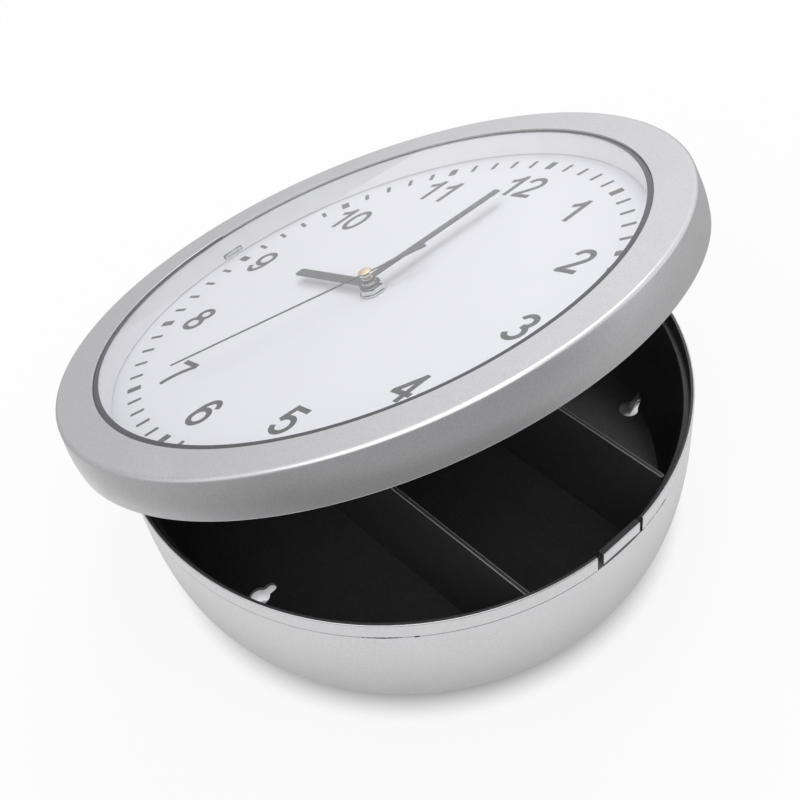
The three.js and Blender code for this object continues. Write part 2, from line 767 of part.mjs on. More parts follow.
function minuteWheel() {
  const bore = arborRadius + 2 * runningGap;
  return joined([
    toothed(minuteTeeth, motionModule, minuteWheelPhase, ...wheelSpan(minuteLayer), bore),
    toothed(
      minutePinionTeeth, hourModule, minuteWheelPhase,
      behind(minuteLayer.front + motionThickness / 2), behind(hourLayer.front - pinionOverhang / 2), bore
    ),
  ]);
}

function hourWheel() {
  const phase = meshedPhase(minuteWheelPhase, minutePinionTeeth, hourTeeth, minuteWheelDirection + 180);
  const pipe = tube(hourBore, hourPipeRadius, behind(hourLayer.back), hourPipeTop);
  return pipe.add(toothed(hourTeeth, hourModule, phase, ...wheelSpan(hourLayer), hourBore + pipeWall / 2));
}

function settingKnob() {
  const phase = meshedPhase(minuteWheelPhase, minuteTeeth, settingTeeth, settingDirection);
  const knobBack = caseDepth + seatGap + knobHeight;
  return joined([
    disc(arborRadius, behind(minuteLayer.back), behind(caseWall + seatGap), smallSegments),
    toothed(settingTeeth, motionModule, phase, ...pinionSpan(minuteLayer)),
    disc(settingShaftRadius, behind(knobBack - rootDepth), behind(minuteLayer.back), smallSegments),
    disc(knobRadius, behind(knobBack), behind(caseDepth + seatGap)),
  ]);
}

// Movement case and cover

const caseInnerX = caseWidth / 2 - caseWall;
const bayBottom = -caseBottom + bayWall;
const bayTop = bayBottom + 2 * (cellRadius + runningGap);
const chamberBottom = bayTop + bayWall;
const chamberTop = caseTop - caseWall;
const cellCentreY = (bayBottom + bayTop) / 2;
const cellDepth = caseWall + seatGap + cellRadius;

function socket([x, y], frontDepth, backDepth, mouthDepth, floorDepth) {
  const post = peg(x, y, postRadius, behind(backDepth), behind(frontDepth));
  const [low, high] = [behind(mouthDepth), behind(floorDepth)].sort((a, b) => a - b);
  return post.subtract(peg(x, y, socketRadius, low, high));
}

const boardPosts = [-1, 1].map((side) =>
  [boardCentreX + side * boardPostSpacing / 2, coilFromShaft]);
const boardFront = statorLayer.back;
const cornerPosts = [[-1, chamberBottom], [1, chamberBottom], [-1, chamberTop], [1, chamberTop]]
  .map(([side, edge]) => {
    const inset = cornerPostRadius - rootDepth;
    return [side * (caseInnerX - inset), edge + (edge < 0 ? inset : -inset)];
  });

function movementCase() {
  const half = caseWidth / 2;
  const outline = roundedBox(-half, half, -caseBottom, caseTop, caseCorner);
  const box = plate(outline, behind(caseDepth), behind(0));
  const hollow = [behind(caseDepth + cutPast), behind(caseWall)];
  const chamber = block([-caseInnerX, caseInnerX], [chamberBottom, chamberTop], hollow);
  const bay = block([-caseInnerX, caseInnerX], [bayBottom, bayTop], hollow);
  const inside = caseWall / 2;
  const sockets = [
    socket(thirdPlace, inside, postTops.third, postTops.third + cutPast, postTops.third - socketDepth),
    socket(fifthPlace, inside, postTops.fifth, postTops.fifth + cutPast, postTops.fifth - socketDepth),
    socket(rotorPlace, inside, postTops.rotor, postTops.rotor + cutPast, postTops.rotor - socketDepth),
    socket(settingPlace, inside, minuteLayer.front - layerGap, caseDepth, caseWall),
  ];
  const posts = [
    peg(...minuteWheelPlace, arborRadius + runningGap, behind(minuteLayer.back + seatGap), behind(inside)),
    ...boardPosts.map(([x, y]) => peg(x, y, boardPostRadius, behind(boardFront - seatGap), behind(inside))),
    ...cornerPosts.map(([x, y]) => peg(x, y, cornerPostRadius, behind(coverFront - seatGap), behind(inside))),
    ...[-1, 1].map((side) => {
      const [x, y] = [coilCentreX + side * (coreLength / 2 - coreWidth / 2), coilFromShaft];
      return peg(x, y, corePostRadius, behind(coreLayer.front - seatGap), behind(inside));
    }),
  ];
  const collarTop = dialTop + washerThickness + nutHeight + 3 * seatGap;
  const collar = tube(collarBore, collarRadius, behind(inside), collarTop);
  const whole = joined([cutBy(box, [chamber, bay]), ...sockets, ...posts, collar]);
  return whole.subtract(disc(collarBore, behind(caseWall + seatGap), collarTop + cutPast));
}

function movementCover() {
  const x = caseInnerX - seatGap;
  const sheet = block(
    [-x, x], [chamberBottom + seatGap, chamberTop - seatGap], [behind(caseDepth), behind(coverFront)]
  );
  const places = [[0, 0], thirdPlace, fifthPlace, rotorPlace];
  const bosses = places.map(([px, py]) => {
    const radius = px === 0 ? secondShaftRadius + runningGap + socketWall : postRadius;
    return peg(px, py, radius, behind(caseDepth - coverThickness / 2), behind(rearBoss));
  });
  const holes = places.map(([px, py]) => {
    const radius = px === 0 ? secondShaftRadius + runningGap : socketRadius;
    return peg(px, py, radius, behind(coverFront), behind(rearBoss - cutPast));
  });
  const settingHole = peg(
    ...settingPlace, settingShaftRadius + runningGap,
    behind(caseDepth + cutPast), behind(coverFront - cutPast)
  );
  return cutBy(joined([sheet, ...bosses]), [...holes, settingHole]);
}

// Stator, coil, board, crystal, contacts and cell

const coreLayer = layer(statorLayer.front - seatGap - coreThickness, coreThickness);
const coreDepth = (coreLayer.front + coreLayer.back) / 2;

function stator() {
  const hole = magnetRadius + statorGap;
  const [rotorX, rotorY] = rotorPlace;
  const left = coilCentreX - coreLength / 2;
  const right = coilCentreX + coreLength / 2;
  const rim = rotorX + hole + statorRim;
  const low = rotorY - hole - statorRim;
  const top = coilFromShaft + coreWidth / 2;
  const archLow = fifthPlace[1] + archClearance;
  const outline = [
    [left, low], [rim, low], [rim, archLow], [right, archLow + archRise], [right, top],
    [right - statorLegWidth, top], [right - statorLegWidth, archLow + archRise + archWidth],
    [rim, archLow + archWidth], [left + statorLegWidth, archLow + archWidth],
    [left + statorLegWidth, top], [left, top],
  ];
  const sheet = plate(outline, ...wheelSpan(statorLayer));
  return sheet.subtract(peg(
    rotorX, rotorY, hole,
    behind(statorLayer.back + cutPast), behind(statorLayer.front - cutPast), shaftSegments
  ));
}

const coilCore = () => block(
  [coilCentreX - coreLength / 2, coilCentreX + coreLength / 2],
  [coilFromShaft - coreWidth / 2, coilFromShaft + coreWidth / 2], wheelSpan(coreLayer)
);

function coil() {
  const spool = (radius, length, shift) => solid(
    new THREE.CylinderGeometry(radius, radius, length, shaftSegments)
      .rotateZ(Math.PI / 2).translate(coilCentreX + shift, coilFromShaft, behind(coreDepth))
  );
  const flangeShift = coilLength / 2 - bobbinFlange / 2;
  const whole = joined([
    spool(coilRadius, coilLength, 0), spool(bobbinFlangeRadius, bobbinFlange, flangeShift),
    spool(bobbinFlangeRadius, bobbinFlange, -flangeShift),
  ]);
  return whole.subtract(block(
    [coilCentreX - coilLength, coilCentreX + coilLength],
    [coilFromShaft - coreWidth / 2 - seatGap, coilFromShaft + coreWidth / 2 + seatGap],
    [behind(coreLayer.back + seatGap), behind(coreLayer.front - seatGap)]
  ));
}

function circuitBoard() {
  const sheet = block(
    [boardCentreX - boardWidth / 2, boardCentreX + boardWidth / 2],
    [coilFromShaft - boardHeight / 2, coilFromShaft + boardHeight / 2],
    [behind(boardFront + boardThickness), behind(boardFront)]
  );
  const chip = peg(
    boardCentreX, coilFromShaft, chipRadius,
    behind(boardFront + boardThickness + chipHeight), behind(boardFront + rootDepth)
  );
  return sheet.add(chip);
}

const quartzCrystal = () => solid(
  new THREE.CylinderGeometry(crystalRadius, crystalRadius, crystalLength, smallSegments)
    .rotateZ(Math.PI / 2)
    .translate(boardCentreX, coilFromShaft, behind(boardFront - seatGap - crystalRadius))
);

function contact(side, domeRadius) {
  const outer = side * (caseInnerX - seatGap);
  const inner = outer - side * contactThickness;
  const cellEnd = side > 0 ? cellLength / 2 + cellNubLength / 2 : -cellLength / 2 - cellNubLength / 2;
  const domeEnd = cellEnd + side * seatGap;
  const leaf = block(
    [Math.min(outer, inner), Math.max(outer, inner)],
    [cellCentreY - contactWidth / 2, cellCentreY + contactWidth / 2],
    [behind(cellDepth + contactHeight / 2), behind(cellDepth - contactHeight / 2)]
  );
  const length = Math.abs(outer - domeEnd) - contactThickness / 2;
  const dome = new THREE.CylinderGeometry(domeRadius, domeRadius, length, smallSegments)
    .rotateZ(Math.PI / 2).translate(domeEnd + side * length / 2, cellCentreY, behind(cellDepth));
  return leaf.add(solid(dome));
}

function cell() {
  const can = new THREE.CylinderGeometry(cellRadius, cellRadius, cellLength, cellSegments)
    .rotateZ(Math.PI / 2).translate(-cellNubLength / 2, cellCentreY, behind(cellDepth));
  const nub = new THREE.CylinderGeometry(cellNubRadius, cellNubRadius, cellNubLength * 2, smallSegments)
    .rotateZ(Math.PI / 2).translate(cellLength / 2 - cellNubLength / 2, cellCentreY, behind(cellDepth));
  return joined([solid(can), solid(nub)]);
}

// Nut and hands on the dial

function shaftNut() {
  const low = dialTop + washerThickness + 2 * seatGap;
  const nut = disc(nutWidth / 2 / Math.cos(Math.PI / 6), low, low + nutHeight, 6);
  return nut.subtract(disc(collarRadius + runningGap, low - cutPast, low + nutHeight + cutPast));
}

const shaftWasher = () => tube(
  collarRadius + runningGap, washerRadius, dialTop + seatGap, dialTop + seatGap + washerThickness
);

function bladeHand({ length, width, height, hub, bore }) {
  const low = dialTop + height;
  const high = low + handThickness;
  const corner = width / 4;
  const blade = plate(roundedBox(-width / 2, width / 2, 0, length, corner), low, high);
  return disc(hub, low, high).add(blade).subtract(disc(bore, low - cutPast, high + cutPast));
}

const hourHand = () => bladeHand({
  length: hourHandLength, width: hourHandWidth, height: hourHandHeight,
  hub: hourHubRadius, bore: hourPipeRadius + runningGap,
});

const minuteHand = () => bladeHand({
  length: minuteHandLength, width: minuteHandWidth, height: minuteHandHeight,
  hub: minuteHubRadius, bore: minutePipeRadius + runningGap,
});

function secondHand() {
  const low = dialTop + secondHandHeight;
  const span = [low, low + handThickness];
  const rod = block(
    [-secondRodWidth / 2, secondRodWidth / 2], [-weightStart - rootDepth, secondHandLength], span
  );
  const weight = block([-weightWidth / 2, weightWidth / 2], [-weightEnd, -weightStart], span);
  const hub = disc(secondHubRadius, low - secondHubDrop, low + handThickness);
  const bore = disc(
    secondShaftRadius + runningGap, low - secondHubDrop - cutPast, low + handThickness + cutPast
  );
  return joined([rod, weight, hub]).subtract(bore);
}

function secondHandCap() {
  const low = dialTop + secondHubTop + seatGap;
  return turned([
    [0, low], [capFootRadius, low], [capRadius, low + capRimHeight],
    [capTopRadius, low + capThickness], [0, low + capThickness],
  ]);
}

// Assembly

const clock = new THREE.Group();
addPiece(clock, 'back_shell', backShell(), 'silver');
addPiece(clock, 'inner_tray', innerTray(), 'black');
addPiece(clock, 'shelf_upper', shelf(shelfFromCentre), 'black');
addPiece(clock, 'shelf_lower', shelf(-shelfFromCentre), 'black');
addPiece(clock, 'latch_tab', latchTab(), 'silver');
addPiece(clock, 'hinge_pin', hingePin(), 'steel');

// The lid's pieces are modelled shut, and the group then swings open about the pin.
const swing = new THREE.Group();
swing.position.copy(hinge);
swing.rotation.y = -radians(lidOpenAngle);
const lid = new THREE.Group();
lid.position.copy(hinge).negate();
swing.add(lid);
clock.add(swing);

addPiece(lid, 'bezel', bezel(), 'silver');
addPiece(lid, 'lens', lens(), 'clear');
addPiece(lid, 'dial_ring', dialRing(), 'lightWall');
addPiece(lid, 'dial_plate', dialPlate(), 'white');
addPiece(lid, 'lid_back', lidBack(), 'black');
screwPlaces.forEach((place, i) => addPiece(lid, `lid_screw_${i + 1}`, lidScrew(place), 'steel'));
addPiece(lid, 'shaft_washer', shaftWasher(), 'steel');
addPiece(lid, 'shaft_nut', shaftNut(), 'brass');
addPiece(lid, 'movement_case', movementCase(), 'black');
addPiece(lid, 'movement_cover', movementCover(), 'black');
addPiece(lid, 'stator', stator(), 'steel');
addPiece(lid, 'coil', coil(), 'copper');
addPiece(lid, 'coil_core', coilCore(), 'steel');
addPiece(lid, 'circuit_board', circuitBoard(), 'board');
addPiece(lid, 'quartz_crystal', quartzCrystal(), 'steel');
addPiece(lid, 'contact_positive', contact(1, cellNubRadius), 'steel');
addPiece(lid, 'contact_negative', contact(-1, cellBaseRadius), 'steel');
addPiece(lid, 'cell', cell(), 'cell');
addPiece(lid, 'centre_wheel', centreWheel(), 'nylon');
addPiece(lid, 'minute_arbor', minuteArbor(), 'brass');
addPiece(lid, 'hour_wheel', hourWheel(), 'nylon');
addPiece(lid, 'second_wheel', secondWheel(), 'nylon');
addPiece(lid, 'hour_hand', hourHand(), 'grey').rotation.z = -radians(hourAngle);
addPiece(lid, 'minute_hand', minuteHand(), 'grey').rotation.z = -radians(minuteAngle);
addPiece(lid, 'second_hand', secondHand(), 'grey').rotation.z = -radians(secondAngle);
addPiece(lid, 'second_hand_cap', secondHandCap(), 'gold');

// Pieces on shafts of their own are modelled about the Z axis, then put in their places.
const offShaft = [
  ['third_wheel', thirdWheel(), thirdPlace, 'nylon'],
  ['fifth_wheel', fifthWheel(), fifthPlace, 'nylon'],
  ['rotor', rotor(), rotorPlace, 'grey'],
  ['minute_wheel', minuteWheel(), minuteWheelPlace, 'nylon'],
  ['setting_knob', settingKnob(), settingPlace, 'nylon'],
];
offShaft.forEach(([name, whole, [x, y], look]) => addPiece(lid, name, whole, look).position.set(x, y, 0));

export default clock;
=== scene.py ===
import bpy
import bmesh
import json
import math
from mathutils import Matrix, Vector


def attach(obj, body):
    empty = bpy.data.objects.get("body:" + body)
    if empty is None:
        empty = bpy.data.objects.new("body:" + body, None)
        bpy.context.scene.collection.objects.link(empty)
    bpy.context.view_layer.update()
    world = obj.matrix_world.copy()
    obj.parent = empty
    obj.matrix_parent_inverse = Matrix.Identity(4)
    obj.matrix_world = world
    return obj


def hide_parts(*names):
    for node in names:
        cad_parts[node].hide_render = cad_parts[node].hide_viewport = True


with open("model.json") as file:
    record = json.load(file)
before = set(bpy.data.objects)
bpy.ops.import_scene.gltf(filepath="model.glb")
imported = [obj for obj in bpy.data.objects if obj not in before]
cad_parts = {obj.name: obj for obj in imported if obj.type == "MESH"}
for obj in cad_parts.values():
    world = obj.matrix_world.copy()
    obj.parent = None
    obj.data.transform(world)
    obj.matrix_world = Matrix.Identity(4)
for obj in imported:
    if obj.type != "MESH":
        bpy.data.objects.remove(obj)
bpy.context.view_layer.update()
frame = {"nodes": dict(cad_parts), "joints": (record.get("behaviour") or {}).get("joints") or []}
print("frame loaded:", len(frame["nodes"]), "pieces")

# A wall clock with a safe behind its hinged face.
# Lengths are in millimetres until a piece is finished. The lid's pieces are drawn shut, then swung open.
mm = 0.001
lidJoint = next(j for j in frame["joints"] if j["name"] == "lid_hinge")
hingePoint = Vector(lidJoint["pos_m"]) / mm
openAngle = math.radians(-lidJoint["range_deg"][0])
swingOpen = (
    Matrix.Translation(hingePoint)
    @ Matrix.Rotation(-openAngle, 4, "Y")
    @ Matrix.Translation(-hingePoint)
)
offLid = ("body", "latch", "upper_shelf", "lower_shelf")  # bodies that don't swing with the lid

# Heights above the flat back that several pieces share
levels = {
    "shellEdge": 61.5,
    "bandLow": 61.8,
    "bandTop": 69.0,
    "ledge": 63.0,
    "tubeLow": 70.8,
    "face": 78.0,
    "lensTop": 77.7,
    "dialTop": 66.4,
    "panLow": 64.0,
    "flangeLow": 69.3,
    "caseFront": 63.7,
}
turns = 192  # steps round a full circle
spare = 1  # how far a cutting shape reaches past what it cuts
flatLimit = 38  # edges that turn by more degrees than this stay sharp


# Node helpers

def addNode(tree, kind, values=None, **settings):
    # a value is a number, a colour or another node's output
    node = tree.nodes.new(kind)
    for name, value in settings.items():
        setattr(node, name, value)
    for name, value in (values or {}).items():
        if isinstance(value, bpy.types.NodeSocket):
            tree.links.new(value, node.inputs[name])
        else:
            node.inputs[name].default_value = value
    return node


def mathOf(tree, operation, first, second, **settings):
    return addNode(tree, "ShaderNodeMath", {0: first, 1: second}, operation=operation, **settings).outputs[0]


def vectorOf(tree, operation, first, second=(0, 0, 0)):
    node = addNode(tree, "ShaderNodeVectorMath", {0: first, 1: second}, operation=operation)
    return node.outputs["Vector" if operation in ("SUBTRACT", "MULTIPLY") else "Value"]


def rangeOf(tree, source, fromMin, fromMax, low=0.0, high=1.0, **settings):
    return addNode(tree, "ShaderNodeMapRange", {
        "Value": source, "From Min": fromMin, "From Max": fromMax, "To Min": low, "To Max": high,
    }, **settings).outputs["Result"]


def noiseOf(tree, point, scale, detail, **others):
    values = {"Vector": point, "Scale": scale, "Detail": detail, **others}
    return addNode(tree, "ShaderNodeTexNoise", values).outputs["Fac"]


def mixOf(tree, share, first, second):
    return addNode(tree, "ShaderNodeMix", {0: share, 2: first, 3: second}, data_type="FLOAT").outputs[0]


def colourOf(tree, share, first, second):
    # between two colours, or from another node's colour to one
    ends = [end if isinstance(end, bpy.types.NodeSocket) else (*end, 1) for end in (first, second)]
    return addNode(tree, "ShaderNodeMix", {0: share, 6: ends[0], 7: ends[1]}, data_type="RGBA").outputs[2]


def anyOf(tree, *sources):
    # the largest of several values
    result = sources[0]
    for source in sources[1:]:
        result = mathOf(tree, "MAXIMUM", result, source)
    return result


def objectPoint(tree):
    return addNode(tree, "ShaderNodeTexCoord").outputs["Object"]


def openGroup(name, outputs, **inputs):
    # a shared effect: it takes a point and some numbers, and puts out numbers
    tree = bpy.data.node_groups.new(name, "ShaderNodeTree")
    tree.interface.new_socket("Vector", in_out="INPUT", socket_type="NodeSocketVector")
    for label, value in inputs.items():
        tree.interface.new_socket(label, in_out="INPUT", socket_type="NodeSocketFloat").default_value = value
    for label in outputs:
        tree.interface.new_socket(label, in_out="OUTPUT", socket_type="NodeSocketFloat")
    return tree, tree.nodes.new("NodeGroupInput").outputs


def closeGroup(tree, **results):
    addNode(tree, "NodeGroupOutput", results)
    return tree


def useGroup(tree, group, **values):
    return addNode(tree, "ShaderNodeGroup", values, node_tree=group).outputs


effects = {
    "flakeScale": 2600.0, "flakeShare": 0.62, "cloudShare": 0.38, "cloudScale": 38.0,
    "speckScale": 420.0, "speckLeast": 0.7, "speckFade": 0.05,
    "rubScale": 26.0, "rubDistortion": 0.6, "rubRange": (0.52, 0.78),
    "mouldScale": 900.0, "mouldRoughness": 0.6, "mouldShare": 0.6, "mouldRange": (0.3, 0.7),
    "mouldCloud": 18.0,
}


def makeFlake():
    # fine metallic grain: a shade for the colour and a height for the bump
    tree, given = openGroup("metallicFlake", ["Shade", "Height"], Scale=effects["flakeScale"])
    point, scale = given["Vector"], given["Scale"]
    cells = addNode(tree, "ShaderNodeTexVoronoi", {"Vector": point, "Scale": scale, "Randomness": 1.0})
    split = addNode(tree, "ShaderNodeSeparateColor", {"Color": cells.outputs["Color"]})
    grain = mathOf(tree, "MULTIPLY", split.outputs["Red"], effects["flakeShare"])
    cloud = noiseOf(tree, point, effects["cloudScale"], 3.0)
    cloud = mathOf(tree, "MULTIPLY", cloud, effects["cloudShare"])
    return closeGroup(tree, Shade=mathOf(tree, "ADD", grain, cloud), Height=noiseOf(tree, point, scale, 2.0))


def makeMarks():
    # sparse specks and faint rubbed patches, as masks from 0 to 1
    tree, given = openGroup("handlingMarks", ["Speck", "Rub"], Specks=effects["speckLeast"])
    point, least = given["Vector"], given["Specks"]
    most = mathOf(tree, "ADD", least, effects["speckFade"])
    specks = rangeOf(tree, noiseOf(tree, point, effects["speckScale"], 1.0), least, most)
    patches = noiseOf(tree, point, effects["rubScale"], 4.0, Distortion=effects["rubDistortion"])
    return closeGroup(tree, Speck=specks, Rub=rangeOf(tree, patches, *effects["rubRange"]))


def makeMould():
    # spark-eroded texture of a plastic moulding
    tree, given = openGroup("mouldTexture", ["Height", "Shade"], Scale=effects["mouldScale"])
    grain = noiseOf(tree, given["Vector"], given["Scale"], 3.0, Roughness=effects["mouldRoughness"])
    cloud = noiseOf(tree, given["Vector"], effects["mouldCloud"], 2.0)
    spread = rangeOf(tree, grain, *effects["mouldRange"])
    return closeGroup(tree, Height=grain, Shade=mixOf(tree, effects["mouldShare"], cloud, spread))


flakeGroup = makeFlake()
marksGroup = makeMarks()
mouldGroup = makeMould()


def newMaterial(name, **sockets):
    material = bpy.data.materials.new(name)
    material.use_nodes = True
    shader = material.node_tree.nodes["Principled BSDF"]
    for label, value in sockets.items():
        shader.inputs[label.replace("_", " ")].default_value = value
    return material, material.node_tree, shader


def dress(tree, shader, colour, height, depth, wear=None, roughness=None):
    # the colour, a bump of that depth in millimetres, and a roughness that changes with wear
    tree.links.new(colour, shader.inputs["Base Color"])
    bump = addNode(tree, "ShaderNodeBump", {"Height": height, "Distance": depth * mm, "Strength": 1.0})
    tree.links.new(bump.outputs["Normal"], shader.inputs["Normal"])
    if roughness:
        tree.links.new(rangeOf(tree, wear, 0.0, 1.0, *roughness), shader.inputs["Roughness"])


# Materials

paint = {
    "dark": (0.60, 0.60, 0.61),
    "light": (0.735, 0.735, 0.745),
    "metallic": 0.85,
    "roughness": (0.31, 0.40),
    "grain": 2600.0,
    "grainDepth": 0.012,
    "specks": 0.84,
    "chip": (0.012, 0.012, 0.013),
    "chipHeight": 61.65,
    "chipPlaces": [
        # x and y on the line, half the length, half the height
        (78.6, -83.3, 7.0, 0.34), (87.0, -74.4, 1.1, 0.42),
        (111.4, 26.6, 2.2, 0.45), (113.2, 18.5, 8.0, 0.24),
    ],
    "raggedScale": 900.0,
    "raggedRange": (0.3, 0.7),
    "raggedReach": (0.7, 1.3),  # of a chip's size
}


def makeChips(tree, point):
    # 1 in long thin patches where the paint has chipped off along the parting line
    edge = noiseOf(tree, point, paint["raggedScale"], 2.0)
    limit = rangeOf(tree, edge, *paint["raggedRange"], *paint["raggedReach"])
    spots = []
    for x, y, reach, height in paint["chipPlaces"]:
        apart = vectorOf(tree, "SUBTRACT", point, (x * mm, y * mm, paint["chipHeight"] * mm))
        sizes = [1 / (size * mm) for size in (reach, reach, height)]
        scaled = vectorOf(tree, "MULTIPLY", apart, sizes)
        spots.append(mathOf(tree, "LESS_THAN", vectorOf(tree, "LENGTH", scaled), limit))
    return anyOf(tree, *spots)


def makeSilverPaint(name, chipped=False):
    material, tree, shader = newMaterial(name, Metallic=paint["metallic"])
    point = objectPoint(tree)
    flake = useGroup(tree, flakeGroup, Vector=point, Scale=paint["grain"])
    marks = useGroup(tree, marksGroup, Vector=point, Specks=paint["specks"])
    # specks, and paint chipped down to the plastic
    bare = anyOf(tree, makeChips(tree, point), marks["Speck"]) if chipped else marks["Speck"]
    whole = colourOf(tree, flake["Shade"], paint["dark"], paint["light"])
    colour = colourOf(tree, bare, whole, paint["chip"])
    dress(tree, shader, colour, flake["Height"], paint["grainDepth"], marks["Rub"], paint["roughness"])
    return material


def makePlastic(name, dark, light, roughness, scale=900.0, depth=0.02):
    material, tree, shader = newMaterial(name)
    point = objectPoint(tree)
    mould = useGroup(tree, mouldGroup, Vector=point, Scale=scale)
    marks = useGroup(tree, marksGroup, Vector=point, Specks=0.76)
    colour = colourOf(tree, mould["Shade"], dark, light)
    dress(tree, shader, colour, mould["Height"], depth, marks["Rub"], roughness)
    return material


def makeMetal(name, dark, light, roughness, stretch=(1, 1, 1), scale=700.0, metallic=1.0):
    material, tree, shader = newMaterial(name, Metallic=metallic)
    place = addNode(tree, "ShaderNodeMapping", {"Vector": objectPoint(tree), "Scale": stretch})
    noise = noiseOf(tree, place.outputs["Vector"], scale, 4.0)
    dress(tree, shader, colourOf(tree, noise, dark, light), noise, 0.01, noise, roughness)
    return material


def makeLens():
    # clear plastic, which lets lamps shine through to the dial
    material, tree, shader = newMaterial(
        "lensClear", Base_Color=(0.985, 0.99, 0.99, 1), Roughness=0.015, IOR=1.47, Transmission_Weight=1.0
    )
    path = addNode(tree, "ShaderNodeLightPath").outputs
    through = anyOf(tree, path["Is Shadow Ray"], path["Is Diffuse Ray"])
    clear = addNode(tree, "ShaderNodeBsdfTransparent", {"Color": (0.97, 0.975, 0.975, 1)})
    mixShaders(tree, through, shader, clear)
    return material


def mixShaders(tree, share, first, second):
    # what the surface shows: the first shader, and the second by that share
    mixed = addNode(tree, "ShaderNodeMixShader", {0: share, 1: first.outputs[0], 2: second.outputs[0]})
    tree.links.new(mixed.outputs[0], tree.nodes["Material Output"].inputs["Surface"])


def makeCopper():
    # enamelled wire in close turns along X
    material, tree, shader = newMaterial("copperWire", Metallic=0.9, Roughness=0.3)
    values = {"Vector": objectPoint(tree), "Scale": 1600.0, "Distortion": 0.4}
    wave = addNode(tree, "ShaderNodeTexWave", values, bands_direction="X").outputs["Fac"]
    dress(tree, shader, colourOf(tree, wave, (0.32, 0.10, 0.03), (0.72, 0.32, 0.14)), wave, 0.05)
    return material


silver = makeSilverPaint("silverPaint")
silverWorn = makeSilverPaint("silverPaintWorn", chipped=True)
black = makePlastic(
    "blackMoulding", (0.032, 0.032, 0.034), (0.070, 0.070, 0.073), (0.42, 0.56), depth=0.03
)
# painted highlight: a pale grey for the shelves' upper edges, where light catches them
blackEdgeHighlight = makePlastic(
    "blackEdgePaintedHighlight", (0.30, 0.30, 0.305), (0.42, 0.42, 0.425), (0.25, 0.35), depth=0.01
)
blackSmooth = makePlastic(
    "blackCase", (0.012, 0.012, 0.013), (0.02, 0.02, 0.021), (0.3, 0.42), depth=0.012
)
# painted highlight: a pale grey, not metallic, for thin bright lines along the bezel's edges
paintedEdgeHighlight = makePlastic("paintedEdgeHighlight", (0.60, 0.60, 0.61), (0.74, 0.74, 0.75), (0.3, 0.45), depth=0.01)
# painted light and painted shade: one tube wall painted pale as if lit, and one painted dark grey as if
# shaded
litHoleWall = makePlastic("paintedLightHoleWall", (0.86, 0.86, 0.87), (0.93, 0.93, 0.94), (0.35, 0.5), depth=0.01)
shadedHoleWall = makePlastic("paintedShadeHoleWall", (0.09, 0.09, 0.095), (0.13, 0.13, 0.135), (0.45, 0.6), depth=0.01)
# painted shade: dark plastic on the lens's sloping edge, standing in for the dark band that refraction shows
# there
lensRimPaintedShade = makePlastic(
    "lensRimPaintedShade", (0.065, 0.065, 0.073), (0.090, 0.090, 0.099), (0.14, 0.24), depth=0.006
)
wallWhite = makePlastic(
    "dialWall", (0.74, 0.735, 0.765), (0.80, 0.795, 0.825), (0.14, 0.30), scale=120.0, depth=0.01
)
dialPaper = makePlastic(
    "dialPaper", (0.735, 0.730, 0.775), (0.765, 0.760, 0.805), (0.5, 0.6), scale=1500.0, depth=0.006
)
ink = makePlastic(
    "dialInk", (0.016, 0.016, 0.018), (0.026, 0.026, 0.028), (0.5, 0.6), scale=2500.0, depth=0.005
)
handGrey = makePlastic(
    "handPaint", (0.030, 0.030, 0.033), (0.042, 0.042, 0.045), (0.36, 0.46), scale=1800.0, depth=0.006
)
nylon = makePlastic("nylon", (0.70, 0.69, 0.65), (0.78, 0.77, 0.73), (0.35, 0.45))
palePlastic = makePlastic("palePlastic", (0.72, 0.66, 0.66), (0.80, 0.75, 0.74), (0.2, 0.3))
steel = makeMetal("plainSteel", (0.50, 0.51, 0.53), (0.68, 0.69, 0.71), (0.22, 0.36))
turnedSteel = makeMetal("turnedSteel", (0.55, 0.56, 0.58), (0.8, 0.81, 0.83), (0.14, 0.3), scale=1400.0)
gold = makeMetal("paleGold", (0.86, 0.60, 0.36), (0.93, 0.70, 0.46), (0.12, 0.24))
brass = makeMetal("turnedBrass", (0.62, 0.46, 0.22), (0.76, 0.60, 0.32), (0.2, 0.32))
magnet = makeMetal("sinteredMagnet", (0.05, 0.05, 0.055), (0.09, 0.09, 0.095), (0.4, 0.55), metallic=0.8)
copper = makeCopper()
board = makePlastic("solderMask", (0.02, 0.12, 0.05), (0.04, 0.19, 0.08), (0.25, 0.35))
sleeveBlue = makeMetal(
    "sleeveBlue", (0.03, 0.09, 0.24), (0.05, 0.13, 0.32), (0.22, 0.3), stretch=(0.1, 1, 1), metallic=0.55
)
sleeveGrey = makeMetal(
    "sleeveGrey", (0.42, 0.43, 0.45), (0.52, 0.53, 0.55), (0.22, 0.3), stretch=(0.1, 1, 1), metallic=0.7
)
lensClear = makeLens()
print("materials made:", len(bpy.data.materials))


# Shape helpers

def lathe(points, closed=True, steps=turns):
    # a profile of (radius, height) points spun round the Z axis
    bm = bmesh.new()
    verts = [bm.verts.new((radius, 0, height)) for radius, height in points]
    edges = [bm.edges.new(pair) for pair in zip(verts, verts[1:])]
    if closed:
        edges.append(bm.edges.new((verts[-1], verts[0])))
    bmesh.ops.spin(
        bm, geom=verts + edges, cent=(0, 0, 0), axis=(0, 0, 1), angle=2 * math.pi,
        steps=steps, use_merge=True,
    )
    bmesh.ops.remove_doubles(bm, verts=bm.verts, dist=1e-4)
    bmesh.ops.dissolve_degenerate(bm, edges=bm.edges, dist=1e-5)
    bmesh.ops.recalc_face_normals(bm, faces=bm.faces)
    return bm


def roundRings(bm, *rings):
    # rounds circular edges: radius and height of each, its width and, where not 3, its steps
    for radius, height, width, *steps in rings:
        ring = [
            e for e in bm.edges
            if all(abs(v.co.xy.length - radius) < 0.01 and abs(v.co.z - height) < 0.01 for v in e.verts)
        ]
        bmesh.ops.bevel(
            bm, geom=ring, offset=width, offset_type="OFFSET", segments=steps[0] if steps else 3,
            profile=0.5, affect="EDGES", material=-1,
        )
    return bm


